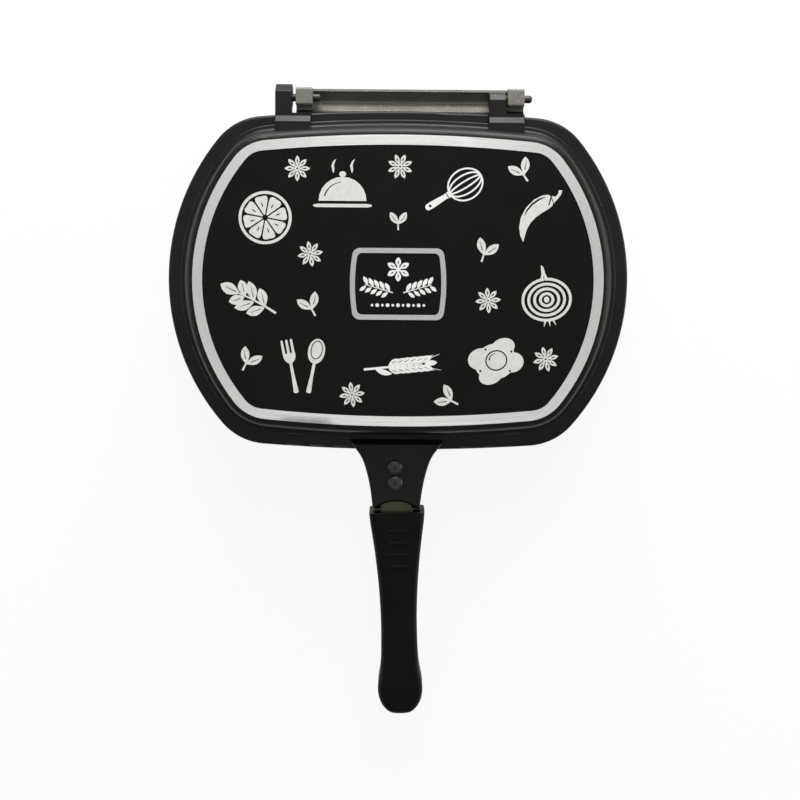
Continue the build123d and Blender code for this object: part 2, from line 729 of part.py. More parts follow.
# ---- Grip screw, pan head with a driver slot -----------------------------------------------
with BuildPart() as grip_screw:
    with BuildSketch(Plane.XY.offset(parting_z + grip_screw_head_dz)):
        with Locations((0, grip_screw_y)):
            Circle(grip_screw_head_d / 2)
    extrude(amount=grip_screw_head_h)
    fillet(grip_screw.edges().group_by(Axis.Z)[0], grip_screw_head_h / 3)
    with BuildSketch(Plane.XY.offset(parting_z + grip_screw_head_dz + grip_screw_head_h)):
        with Locations((0, grip_screw_y)):
            Circle(grip_screw_d / 2)
    extrude(amount=grip_screw_tip_dz - grip_screw_head_dz - grip_screw_head_h)
    chamfer(grip_screw.edges().group_by(Axis.Z)[-1], grip_screw_d / 8)
    with BuildSketch(Plane.XY.offset(parting_z + grip_screw_head_dz)):
        with Locations((0, grip_screw_y)):
            Rectangle(grip_screw_head_d + 1, grip_screw_slot_w)
    extrude(amount=grip_screw_slot_depth, mode=Mode.SUBTRACT)

# ---- Magnet set: steel cup, ring magnet and countersunk screw ------------------------------
with BuildPart() as magnet_cup:
    with BuildSketch(Plane.XY.offset(parting_z + cup_face_dz)):
        with Locations((0, magnet_y)):
            Circle(cup_d / 2)
    extrude(amount=cup_h)
    chamfer(magnet_cup.edges().group_by(Axis.Z)[0], cup_chamfer)
    with BuildSketch(Plane.XY.offset(parting_z + cup_face_dz)):
        with Locations((0, magnet_y)):
            Circle(cup_d / 2 - cup_wall)
    extrude(amount=cup_h - cup_wall, mode=Mode.SUBTRACT)
    with BuildSketch(Plane.XY.offset(parting_z + cup_face_dz)):
        with Locations((0, magnet_y)):
            Circle(magnet_bore_d / 2)
    extrude(amount=cup_h, mode=Mode.SUBTRACT)

with BuildPart() as magnet:
    with BuildSketch(Plane.XY.offset(parting_z + cup_face_dz)):
        with Locations((0, magnet_y)):
            Circle(cup_d / 2 - cup_wall - magnet_gap)
            Circle(magnet_bore_d / 2, mode=Mode.SUBTRACT)
    extrude(amount=cup_h - cup_wall)
    with Locations((0, magnet_y, parting_z + cup_face_dz + magnet_sink_d / 4)):
        Cone(magnet_sink_d / 2, 0, magnet_sink_d / 2, mode=Mode.SUBTRACT)

magnet_head_h = (magnet_screw_head_d - magnet_screw_d) / 2
with BuildPart() as magnet_screw:
    with BuildSketch(Plane.XY.offset(parting_z + magnet_screw_head_dz)):
        with Locations((0, magnet_y)):
            Circle(magnet_screw_d / 2)
    extrude(amount=magnet_screw_tip_dz - magnet_screw_head_dz)
    chamfer(magnet_screw.edges().group_by(Axis.Z)[-1], magnet_screw_d / 8)
    with Locations((0, magnet_y, parting_z + magnet_screw_head_dz + magnet_head_h / 2)):
        Cone(magnet_screw_head_d / 2, magnet_screw_d / 2, magnet_head_h)
    with BuildSketch(Plane.XY.offset(parting_z + magnet_screw_head_dz)):
        with Locations((0, magnet_y)):
            Rectangle(magnet_cross_len, magnet_cross_w)
            Rectangle(magnet_cross_w, magnet_cross_len)
    extrude(amount=magnet_cross_depth, mode=Mode.SUBTRACT)

# ---- Handle pieces of the upper half -------------------------------------------------------
with BuildPart() as upper_tang:
    with Locations(handle_place):
        add(tang.part)
with BuildPart() as upper_bracket_screws:
    with Locations(*[handle_place * spot for spot in screw_spots]):
        add(bracket_screw.part)
with BuildPart() as upper_bracket_nuts:
    with Locations(*[handle_place * spot for spot in screw_spots]):
        add(bracket_nut.part)
with BuildPart() as upper_grip:
    with Locations(handle_place):
        add(grip.part)
with BuildPart() as upper_grip_screw:
    with Locations(handle_place):
        add(grip_screw.part)
with BuildPart() as upper_magnet_cup:
    with Locations(handle_place):
        add(magnet_cup.part)
with BuildPart() as upper_magnet:
    with Locations(handle_place):
        add(magnet.part)
with BuildPart() as upper_magnet_screw:
    with Locations(handle_place):
        add(magnet_screw.part)

# ---- Handle pieces of the lower half -------------------------------------------------------
with BuildPart() as lower_tang:
    add(flipped(upper_tang.part))
with BuildPart() as lower_bracket_screws:
    add(flipped(upper_bracket_screws.part))
with BuildPart() as lower_bracket_nuts:
    add(flipped(upper_bracket_nuts.part))
with BuildPart() as lower_grip:
    add(flipped(upper_grip.part))
with BuildPart() as lower_grip_screw:
    add(flipped(upper_grip_screw.part))
with BuildPart() as lower_magnet_cup:
    add(flipped(upper_magnet_cup.part))
with BuildPart() as lower_magnet:
    add(flipped(upper_magnet.part))
with BuildPart() as lower_magnet_screw:
    add(flipped(upper_magnet_screw.part))

lower_pan.part.label = "lower_pan"
export_step(lower_pan.part, "parts/lower_pan.step")
upper_pan.part.label = "upper_pan"
export_step(upper_pan.part, "parts/upper_pan.step")
rim_gasket.part.label = "rim_gasket"
export_step(rim_gasket.part, "parts/rim_gasket.step")
hinge_pin_left.part.label = "hinge_pin_left"
export_step(hinge_pin_left.part, "parts/hinge_pin_left.step")
hinge_pin_right.part.label = "hinge_pin_right"
export_step(hinge_pin_right.part, "parts/hinge_pin_right.step")
lower_tang.part.label = "lower_tang"
export_step(lower_tang.part, "parts/lower_tang.step")
upper_tang.part.label = "upper_tang"
export_step(upper_tang.part, "parts/upper_tang.step")
lower_bracket_screws.part.label = "lower_bracket_screws"
export_step(lower_bracket_screws.part, "parts/lower_bracket_screws.step")
upper_bracket_screws.part.label = "upper_bracket_screws"
export_step(upper_bracket_screws.part, "parts/upper_bracket_screws.step")
lower_bracket_nuts.part.label = "lower_bracket_nuts"
export_step(lower_bracket_nuts.part, "parts/lower_bracket_nuts.step")
upper_bracket_nuts.part.label = "upper_bracket_nuts"
export_step(upper_bracket_nuts.part, "parts/upper_bracket_nuts.step")
lower_grip.part.label = "lower_grip"
export_step(lower_grip.part, "parts/lower_grip.step")
upper_grip.part.label = "upper_grip"
export_step(upper_grip.part, "parts/upper_grip.step")
lower_grip_screw.part.label = "lower_grip_screw"
export_step(lower_grip_screw.part, "parts/lower_grip_screw.step")
upper_grip_screw.part.label = "upper_grip_screw"
export_step(upper_grip_screw.part, "parts/upper_grip_screw.step")
lower_magnet_cup.part.label = "lower_magnet_cup"
export_step(lower_magnet_cup.part, "parts/lower_magnet_cup.step")
upper_magnet_cup.part.label = "upper_magnet_cup"
export_step(upper_magnet_cup.part, "parts/upper_magnet_cup.step")
lower_magnet.part.label = "lower_magnet"
export_step(lower_magnet.part, "parts/lower_magnet.step")
upper_magnet.part.label = "upper_magnet"
export_step(upper_magnet.part, "parts/upper_magnet.step")
lower_magnet_screw.part.label = "lower_magnet_screw"
export_step(lower_magnet_screw.part, "parts/lower_magnet_screw.step")
upper_magnet_screw.part.label = "upper_magnet_screw"
export_step(upper_magnet_screw.part, "parts/upper_magnet_screw.step")
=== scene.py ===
"""Looks for the double sided flip pan: finishes, the printed design, light and camera.

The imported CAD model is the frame. Lengths are in metres unless a name ends in _mm.
"""

import logging
import math
from collections.abc import Callable, Iterable, Sequence
from dataclasses import dataclass, field
from enum import Enum

import bmesh
import bpy
from mathutils import Matrix, Vector


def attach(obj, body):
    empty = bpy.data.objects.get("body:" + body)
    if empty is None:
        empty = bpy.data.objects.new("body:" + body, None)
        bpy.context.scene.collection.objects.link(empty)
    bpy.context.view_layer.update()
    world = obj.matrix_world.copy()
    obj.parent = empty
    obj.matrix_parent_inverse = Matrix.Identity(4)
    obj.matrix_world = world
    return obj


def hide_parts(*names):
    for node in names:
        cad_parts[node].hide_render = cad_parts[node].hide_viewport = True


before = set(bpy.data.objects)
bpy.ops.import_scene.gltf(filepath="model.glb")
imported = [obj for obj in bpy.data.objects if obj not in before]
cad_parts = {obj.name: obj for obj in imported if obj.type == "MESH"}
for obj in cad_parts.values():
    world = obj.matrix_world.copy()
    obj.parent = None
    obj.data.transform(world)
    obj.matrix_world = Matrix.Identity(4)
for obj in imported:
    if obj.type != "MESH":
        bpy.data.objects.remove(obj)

log = logging.getLogger("flip_pan")

MM = 0.001
MERGE_REACH = 0.002 * MM
SAME_HEIGHT = 0.01 * MM
Colour = tuple[float, float, float]
Point = tuple[float, float]


class Half(Enum):
    """Which half of the pan a piece belongs to."""

    LOWER = "lower"
    UPPER = "upper"


class Zone(Enum):
    """Surface zones of a cast half, in the order of its material slots."""

    OUTSIDE = 0
    INSIDE = 1
    PANEL = 2
    MACHINED = 3
    TROUGH = 4


class Ink(Enum):
    """Inks of the printed design."""

    SILVER = "silver"
    BRIGHT = "bright"


# ---- Node trees ----------------------------------------------------------------------------


class Tree:
    """A material's node tree, built one node at a time."""

    def __init__(self, name: str) -> None:
        """Starts a material that holds only a Principled shader.

        Args:
            name: Name of the material.
        """
        self.material = bpy.data.materials.new(name)
        self.material.use_nodes = True
        self.nodes = self.material.node_tree.nodes
        self.links = self.material.node_tree.links
        self.nodes.clear()
        self.shader = self.nodes.new("ShaderNodeBsdfPrincipled")
        output = self.nodes.new("ShaderNodeOutputMaterial")
        self.links.new(self.shader.outputs["BSDF"], output.inputs["Surface"])
        self.place = self.nodes.new("ShaderNodeTexCoord").outputs["Object"]

    def set(self, **values: float | Colour) -> None:
        """Sets sockets of the shader, with underscores for the spaces in their names.

        Args:
            values: Socket names and plain numbers or colours.
        """
        for name, value in values.items():
            socket = self.shader.inputs[name.replace("_", " ")]
            socket.default_value = (*value, 1.0) if isinstance(value, tuple) else value

    def noise(
        self, scale: float, detail: float = 2.0, place: bpy.types.NodeSocket | None = None
    ) -> bpy.types.NodeSocket:
        """Adds a noise texture.

        Args:
            scale: Features per metre.
            detail: Octaves.
            place: Coordinates, or None for the object's own.

        Returns:
            Its factor, about 0.5 on average.
        """
        node = self.nodes.new("ShaderNodeTexNoise")
        node.inputs["Scale"].default_value = scale
        node.inputs["Detail"].default_value = detail
        self.links.new(place or self.place, node.inputs["Vector"])
        return node.outputs["Fac"]

    def cells(self, scale: float) -> tuple[bpy.types.NodeSocket, bpy.types.NodeSocket]:
        """Adds a cell texture.

        Args:
            scale: Cells per metre.

        Returns:
            Distance from the cell's centre, and a colour of its own for each cell.
        """
        node = self.nodes.new("ShaderNodeTexVoronoi")
        node.inputs["Scale"].default_value = scale
        self.links.new(self.place, node.inputs["Vector"])
        return node.outputs["Distance"], node.outputs["Color"]

    def stretched(self, x: float, y: float, z: float) -> bpy.types.NodeSocket:
        """Object coordinates with each axis scaled, so that noise runs in streaks."""
        node = self.nodes.new("ShaderNodeMapping")
        node.inputs["Scale"].default_value = (x, y, z)
        self.links.new(self.place, node.inputs["Vector"])
        return node.outputs["Vector"]

    def math(
        self, operation: str, first: bpy.types.NodeSocket, second: bpy.types.NodeSocket | float
    ) -> bpy.types.NodeSocket:
        """Adds a math node on a socket and a second socket or number."""
        node = self.nodes.new("ShaderNodeMath")
        node.operation = operation
        self.links.new(first, node.inputs[0])
        if isinstance(second, float):
            node.inputs[1].default_value = second
        else:
            self.links.new(second, node.inputs[1])
        return node.outputs["Value"]

    def spread(
        self, source: bpy.types.NodeSocket, low: float, high: float,
        start: float = 0.3, end: float = 0.7,
    ) -> bpy.types.NodeSocket:
        """Maps a factor's range from start to end onto the range from low to high."""
        node = self.nodes.new("ShaderNodeMapRange")
        self.links.new(source, node.inputs["Value"])
        for name, value in (
            ("From Min", start), ("From Max", end), ("To Min", low), ("To Max", high)
        ):
            node.inputs[name].default_value = value
        return node.outputs["Result"]

    def blend(
        self, amount: bpy.types.NodeSocket,
        first: bpy.types.NodeSocket | Colour, second: bpy.types.NodeSocket | Colour,
    ) -> bpy.types.NodeSocket:
        """Mixes two colours.

        Args:
            amount: 0 for the first, 1 for the second.
            first: A colour or a socket.
            second: A colour or a socket.

        Returns:
            The mixed colour.
        """
        node = self.nodes.new("ShaderNodeMix")
        node.data_type = "RGBA"
        self.links.new(amount, node.inputs[0])
        for socket, value in ((node.inputs[6], first), (node.inputs[7], second)):
            if isinstance(value, tuple):
                socket.default_value = (*value, 1.0)
            else:
                self.links.new(value, socket)
        return node.outputs[2]

    def bump(
        self, height: bpy.types.NodeSocket, depth: float, strength: float = 1.0
    ) -> None:
        """Adds a bump on top of any that the shader has.

        Args:
            height: Height from 0 to 1.
            depth: Real depth of that height, in metres.
            strength: Share of the bump that is used.
        """
        node = self.nodes.new("ShaderNodeBump")
        node.inputs["Distance"].default_value = depth
        node.inputs["Strength"].default_value = strength
        self.links.new(height, node.inputs["Height"])
        before = self.shader.inputs["Normal"].links
        if before:
            self.links.new(before[0].from_socket, node.inputs["Normal"])
        self.links.new(node.outputs["Normal"], self.shader.inputs["Normal"])

    def link(self, source: bpy.types.NodeSocket, name: str) -> None:
        """Links a socket to the shader's input of that name."""
        self.links.new(source, self.shader.inputs[name])

    def clouded(
        self, colour: Colour, scale: float, detail: float, darker: float, lighter: float
    ) -> bpy.types.NodeSocket:
        """The colour, clouded between a darker and a lighter share of itself."""
        return self.blend(self.spread(self.noise(scale, detail), 0.0, 1.0),
                          shade(colour, darker), shade(colour, lighter))

    def uneven_gloss(
        self, scale: float, detail: float, roughness: float, below: float, above: float
    ) -> None:
        """Lets the roughness wander from a little below its value to a little above."""
        wander = self.spread(self.noise(scale, detail), roughness - below, roughness + above)
        self.link(wander, "Roughness")


def shade(colour: Colour, factor: float) -> Colour:
    """The colour made lighter or darker by a factor."""
    return tuple(min(1.0, c * factor) for c in colour)


# ---- Finishes ------------------------------------------------------------------------------


@dataclass(frozen=True)
class BakedCoat:
    """Matte baked coating with a fine orange peel, on the outside of the castings."""

    name: str = "baked_coat"
    colour: Colour = (0.003, 0.0031, 0.0024)
    roughness: float = 0.42
    specular: float = 0.26
    peel: float = 900.0
    peel_depth: float = 0.03 * MM

    def material(self) -> bpy.types.Material:
        """Builds the finish."""
        tree = Tree(self.name)
        tree.set(Roughness=self.roughness, Specular_IOR_Level=self.specular)
        mixed = tree.clouded(self.colour, 14.0, 3.0, 0.85, 1.2)
        speck = tree.spread(tree.noise(2600.0, 1.0), 0.0, 0.35, 0.6, 0.75)
        tree.link(tree.blend(speck, mixed, shade(self.colour, 3.0)), "Base Color")
        tree.uneven_gloss(30.0, 4.0, self.roughness, 0.04, 0.06)
        tree.bump(tree.noise(self.peel, 2.0), self.peel_depth)
        return tree.material


@dataclass(frozen=True)
class PanelPaint:
    """Smoother, deeper black of the flat base inside the machined ring."""

    name: str = "panel_paint"
    colour: Colour = (0.0036, 0.0038, 0.0026)
    roughness: float = 0.5
    specular: float = 0.11

    def material(self) -> bpy.types.Material:
        """Builds the finish."""
        tree = Tree(self.name)
        tree.set(Roughness=self.roughness, Specular_IOR_Level=self.specular)
        tree.link(tree.clouded(self.colour, 22.0, 4.0, 0.85, 1.2), "Base Color")
        tree.uneven_gloss(60.0, 4.0, self.roughness, 0.05, 0.05)
        tree.bump(tree.noise(1500.0, 2.0), 0.012 * MM)
        return tree.material


@dataclass(frozen=True)
class MachinedFace:
    """Bare aluminium of the faced ring and frame, with tool marks along their length."""

    name: str = "machined_face"
    colour: Colour = (0.89, 0.89, 0.865)
    roughness: float = 0.22
    marks: float = 34.0

    def material(self) -> bpy.types.Material:
        """Builds the finish, which reads the attribute that runs across the band."""
        tree = Tree(self.name)
        tree.set(Metallic=1.0, Roughness=self.roughness, Base_Color=self.colour)
        across = tree.nodes.new("ShaderNodeAttribute")
        across.attribute_name = PanHalf.across_name
        joined = tree.nodes.new("ShaderNodeCombineXYZ")
        apart = tree.nodes.new("ShaderNodeSeparateXYZ")
        tree.links.new(tree.stretched(14.0, 14.0, 0.0), apart.inputs[0])
        tree.links.new(apart.outputs["X"], joined.inputs["X"])
        tree.links.new(apart.outputs["Y"], joined.inputs["Y"])
        tree.links.new(tree.math("MULTIPLY", across.outputs["Fac"], self.marks),
                       joined.inputs["Z"])
        streak = tree.noise(1.0, 3.0, joined.outputs["Vector"])
        tree.link(tree.blend(tree.spread(streak, 0.0, 1.0), shade(self.colour, 0.86),
                             self.colour), "Base Color")
        tree.link(tree.spread(streak, self.roughness + 0.08, self.roughness - 0.06),
                  "Roughness")
        tree.bump(streak, 0.015 * MM)
        return tree.material


@dataclass(frozen=True)
class SpeckledCoat:
    """Non-stick coating of the inside, with light and dark flecks."""

    name: str = "speckled_coat"
    colour: Colour = (0.15, 0.146, 0.125)
    light: Colour = (0.36, 0.36, 0.33)
    dark: Colour = (0.02, 0.02, 0.018)
    roughness: float = 0.46
    flecks: float = 620.0

    def material(self) -> bpy.types.Material:
        """Builds the finish."""
        tree = Tree(self.name)
        tree.set(Roughness=self.roughness, Specular_IOR_Level=0.4)
        result = tree.clouded(self.colour, 40.0, 5.0, 0.85, 1.15)
        for scale, fleck, keep in ((self.flecks, self.light, 0.62),
                                   (self.flecks * 1.7, self.dark, 0.55),
                                   (self.flecks * 0.55, self.light, 0.88)):
            distance, own = tree.cells(scale)
            apart = tree.nodes.new("ShaderNodeSeparateColor")
            tree.links.new(own, apart.inputs["Color"])
            size = tree.spread(apart.outputs["Red"], 0.0, 0.34, keep, 1.0)
            dot = tree.math("LESS_THAN", distance, size)
            result = tree.blend(dot, result, fleck)
        tree.link(result, "Base Color")
        tree.uneven_gloss(80.0, 3.0, self.roughness, 0.05, 0.08)
        tree.bump(tree.noise(1100.0, 3.0), 0.03 * MM)
        return tree.material


@dataclass(frozen=True)
class MouldedPhenolic:
    """Matte moulded grip plastic, with a slight flow grain."""

    name: str = "moulded_phenolic"
    colour: Colour = (0.003, 0.0032, 0.0021)
    roughness: float = 0.48
    specular: float = 0.12

    def material(self) -> bpy.types.Material:
        """Builds the finish."""
        tree = Tree(self.name)
        tree.set(Roughness=self.roughness, Specular_IOR_Level=self.specular)
        tree.link(tree.clouded(self.colour, 35.0, 4.0, 0.8, 1.25), "Base Color")
        tree.uneven_gloss(90.0, 4.0, self.roughness, 0.06, 0.06)
        tree.bump(tree.noise(1300.0, 2.0), 0.035 * MM)
        tree.bump(tree.noise(160.0, 2.0, tree.stretched(1.0, 0.25, 1.0)), 0.05 * MM, 0.5)
        return tree.material


@dataclass(frozen=True)
class BareSteel:
    """Pressed or turned steel with drawn lines along one axis."""

    name: str
    colour: Colour
    roughness: float
    lines: tuple[float, float, float] = (1500.0, 60.0, 1500.0)
    stain: float = 0.75

    def material(self) -> bpy.types.Material:
        """Builds the finish."""
        tree = Tree(self.name)
        tree.set(Metallic=1.0, Roughness=self.roughness)
        drawn = tree.noise(1.0, 3.0, tree.stretched(*self.lines))
        cloud = tree.noise(55.0, 4.0)
        mixed = tree.blend(tree.spread(drawn, 0.0, 1.0), shade(self.colour, 0.85), self.colour)
        tree.link(tree.blend(tree.spread(cloud, 0.0, 1.0, 0.45, 0.75), mixed,
                             shade(self.colour, self.stain)), "Base Color")
        tree.link(tree.spread(cloud, self.roughness - 0.05, self.roughness + 0.1), "Roughness")
        tree.bump(drawn, 0.01 * MM)
        return tree.material


@dataclass(frozen=True)
class FineCoat:
    """Thin coating or solid-coloured skin on a small part."""

    name: str
    colour: Colour
    roughness: float
    metallic: float = 0.0
    grain: float = 1800.0
    depth: float = 0.02 * MM

    def material(self) -> bpy.types.Material:
        """Builds the finish."""
        tree = Tree(self.name)
        tree.set(Metallic=self.metallic, Roughness=self.roughness)
        tree.link(tree.clouded(self.colour, 160.0, 4.0, 0.8, 1.2), "Base Color")
        tree.uneven_gloss(300.0, 3.0, self.roughness, 0.05, 0.07)
        tree.bump(tree.noise(self.grain, 2.0), self.depth)
        return tree.material


@dataclass(frozen=True)
class PrintedInk:
    """Silver screen ink, a little uneven where it lies thin."""

    name: str
    colour: Colour
    roughness: float = 0.55

    def material(self) -> bpy.types.Material:
        """Builds the finish."""
        tree = Tree(self.name)
        tree.set(Roughness=self.roughness, Metallic=0.0, Specular_IOR_Level=0.4)
        thin = tree.noise(240.0, 5.0)
        tree.link(tree.blend(tree.spread(thin, 0.0, 1.0), shade(self.colour, 0.88),
                             self.colour), "Base Color")
        tree.link(tree.spread(thin, self.roughness + 0.08, self.roughness - 0.06), "Roughness")
        tree.bump(tree.noise(2400.0, 2.0), 0.008 * MM)
        return tree.material


# ---- Modelling helpers ---------------------------------------------------------------------


def activate(piece: bpy.types.Object) -> None:
    """Makes the piece the only selected and active object."""
    bpy.ops.object.select_all(action="DESELECT")
    piece.select_set(True)
    bpy.context.view_layer.objects.active = piece


def dress(piece: bpy.types.Object, *materials: bpy.types.Material) -> None:
    """Puts the materials in the piece's slots, in place of those it has."""
    piece.data.materials.clear()
    for material in materials:
        piece.data.materials.append(material)


def merged_copy(node: str, name: str) -> bpy.types.Object:
    """Copies a CAD node's mesh into a new object and joins its loose triangles.

    Args:
        node: Name of the CAD node.
        name: Name of the copy.

    Returns:
        The copy, whose CAD node is left as it was.
    """
    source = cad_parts[node]
    piece = bpy.data.objects.new(name, source.data.copy())
    bpy.context.scene.collection.objects.link(piece)
    activate(piece)
    bpy.ops.mesh.customdata_custom_splitnormals_clear()
    bpy.ops.object.mode_set(mode="EDIT")
    bpy.ops.mesh.select_all(action="SELECT")
    bpy.ops.mesh.remove_doubles(threshold=MERGE_REACH)
    bpy.ops.object.mode_set(mode="OBJECT")
    return piece


def even_shading(piece: bpy.types.Object, angle: float = 28.0) -> None:
    """Smooths the piece's shading up to an angle in degrees, with flat faces kept flat."""
    activate(piece)
    bpy.ops.object.shade_smooth_by_angle(angle=math.radians(angle))
    weighted = piece.modifiers.new("weighted", "WEIGHTED_NORMAL")
    weighted.keep_sharp = True
    weighted.weight = 100
    bpy.ops.object.modifier_apply(modifier=weighted.name)


# ---- Cast halves ---------------------------------------------------------------------------


@dataclass
class PanHalf:
    """One cast half: coated outside, speckled inside, and bare where it is faced."""

    across_name = "across"

    half: Half
    height: float = 72.0 * MM
    parting: float = 36.0 * MM
    recess: float = 0.4 * MM
    frame_outer: Point = (36.8 * MM, 27.5 * MM)
    frame_inner: Point = (33.4 * MM, 24.3 * MM)
    frame_middle: Point = (0.2 * MM, -2.1 * MM)
    body_half: Point = (169.3 * MM, 124.3 * MM)
    side_centre: float = 4.8 * MM
    end_radius: float = 1040.0 * MM
    rib_inset: float = 22.0 * MM
    rim_inset: float = 4.0 * MM
    rim_depth: float = 8.0 * MM
    floor: float = 68.5 * MM
    floor_play: float = 0.1 * MM
    hinge_start: float = 131.6 * MM
    trough_x: Point = (-67.5 * MM, 84.1 * MM)
    trough_y: Point = (131.9 * MM, 147.4 * MM)
    trough_top: float = 34.9 * MM
    crown_radius: float = 6.03 * MM
    crown_centre: Point = (14.501 * MM, 66.0 * MM)
    crown_from: float = 6.0
    crown_to: float = 81.0
    crown_share: float = 0.85
    skirt_length: float = 6.0 * MM
    crown_sweep: float = 5.5
    crown_cells: tuple[int, int] = (64, 20)

    def crown_point(self, along: float, down: float, side: int) -> Vector:
        """A point of the rounded edge between base and wall, at one end of the plan.

        Args:
            along: Place along the end's arc, -1 to 1.
            down: Place across, -1 near the base and 1 at the foot of the skirt on the wall.
            side: 1 at the hinge's end, -1 at the handle's.

        Returns:
            The point, 0.03 mm outside the casting.
        """
        across = (down + 1.0) / 2.0
        share = min(across / self.crown_share, 1.0)
        tilt = math.radians(self.crown_from + share * (self.crown_to - self.crown_from))
        skirt = max(across - self.crown_share, 0.0) / (1.0 - self.crown_share)
        skirt *= self.skirt_length
        inset = self.crown_centre[0] - self.crown_radius * math.sin(tilt)
        inset -= skirt * math.cos(tilt)
        height = self.crown_centre[1] + self.crown_radius * math.cos(tilt)
        height -= skirt * math.sin(tilt)
        sweep = math.radians(along * self.crown_sweep)
        radius = self.end_radius - inset
        x = radius * math.sin(sweep) * side
        y = (radius * math.cos(sweep) + self.body_half[1] - self.end_radius) * side
        if self.half is Half.LOWER:
            return Vector((x, -y, self.height - height))
        return Vector((x, y, height))

    def add_crowns(self, piece: bpy.types.Object) -> None:
        """Covers the rounded edge of both ends with evenly divided skins and joins them.

        The casting's own facets are uneven on that edge and show as notches without them.

        Args:
            piece: The copy of the casting.
        """
        along, down = self.crown_cells
        strips = []
        for side in (1, -1):
            bpy.ops.object.select_all(action="DESELECT")
            bpy.ops.mesh.primitive_grid_add(x_subdivisions=along, y_subdivisions=down, size=2.0)
            strip = bpy.context.object
            for vertex in strip.data.vertices:
                vertex.co = self.crown_point(vertex.co.x, vertex.co.y, side)
            strips.append(strip)
        activate(piece)
        for strip in strips:
            strip.select_set(True)
        bpy.ops.object.join()

    def inset(self, spot: Vector) -> float:
        """How far a point lies in from the sides and ends of the body's plan."""
        side = self.body_half[0] - self.side_centre
        side -= math.hypot(abs(spot.x) - self.side_centre, spot.y)
        end_centre = self.end_radius - self.body_half[1]
        end = self.end_radius - math.hypot(spot.x, abs(spot.y) + end_centre)
        return min(side, end)

    def is_inside(self, spot: Vector, normal: Vector) -> bool:
        """Whether a face belongs to the hollow that holds the food.

        Args:
            spot: Centre of the face.
            normal: Its outward direction.

        Returns:
            True for the hollow's wall, floor and ribs.
        """
        up = self.half is Half.UPPER
        height = spot.z if up else self.height - spot.z
        if height < self.parting or height > self.floor + self.floor_play:
            return False
        depth = self.inset(spot)
        if depth > self.rib_inset:
            return True
        inward = normal.dot(Vector((-spot.x, -spot.y, 0.0)).normalized()) > 0.05
        downward = (normal.z if up else -normal.z) < -0.3
        downward = downward and height > self.parting + self.rim_depth
        return depth > self.rim_inset and (inward or downward)

    def is_hinge(self, spot: Vector) -> bool:
        """Whether a face is on the lower half's lugs or its trough."""
        return self.half is Half.LOWER and spot.y > self.hinge_start

    def is_trough_floor(self, spot: Vector, normal: Vector) -> bool:
        """Whether a face is a slope, floor or inner wall of the trough."""
        return (self.trough_x[0] < spot.x < self.trough_x[1]
                and self.trough_y[0] < spot.y < self.trough_y[1]
                and spot.z < self.trough_top and (normal.z > 0.1 or normal.y < -0.9))

    def zone(self, spot: Vector, normal: Vector) -> Zone:
        """The zone of a face, from its centre and outward direction."""
        if self.half is Half.UPPER and normal.z > 0.99:
            if spot.z > self.height - SAME_HEIGHT:
                return Zone.MACHINED
            if abs(spot.z - self.height + self.recess) < SAME_HEIGHT:
                return Zone.PANEL
        # Faces of the trough take a darker copy of the speckled coat, which is painted shade.
        if self.is_hinge(spot) and self.is_trough_floor(spot, normal):
            return Zone.TROUGH
        if self.is_inside(spot, normal) or self.is_hinge(spot):
            return Zone.INSIDE
        return Zone.OUTSIDE

    def is_within(self, spot: Vector, half: Point) -> bool:
        """Whether a point lies within half a width and depth of the frame's middle."""
        middle = self.frame_middle
        return abs(spot.x - middle[0]) < half[0] and abs(spot.y - middle[1]) < half[1]

    def mark_bands(self, piece: bpy.types.Object) -> None:
        """Stores how far each point lies across the machined bands, 0 outside and 1 inside.

        Args:
            piece: The half, with its zones assigned.
        """
        mesh = piece.data
        recess_points = {
            index for face in mesh.polygons for index in face.vertices
            if abs(face.normal.z) < 0.1 and face.center.z > self.height - self.recess
        }
        across = mesh.attributes.new(self.across_name, "FLOAT", "POINT")
        for vertex in mesh.vertices:
            if self.is_within(vertex.co, self.frame_outer):
                inside = self.is_within(vertex.co, self.frame_inner)
            else:
                inside = vertex.index in recess_points
            across.data[vertex.index].value = float(inside)

    def build(self, materials: dict[Zone, bpy.types.Material]) -> bpy.types.Object:
        """Builds the half from its casting and dresses each zone.

        Args:
            materials: The material of each zone.

        Returns:
            The finished half, riding on its body.
        """
        node = f"{self.half.value}_pan"
        piece = merged_copy(node, f"{self.half.value}_casting")
        self.add_crowns(piece)
        dress(piece, *(materials[zone] for zone in Zone))
        for face in piece.data.polygons:
            face.material_index = self.zone(face.center, face.normal).value
        self.mark_bands(piece)
        even_shading(piece)
        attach(piece, self.half.value)
        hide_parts(node)
        log.info("%s: %d faces", piece.name, len(piece.data.polygons))
        return piece


# ---- Printed design ------------------------------------------------------------------------

Step = tuple[float, float, float]


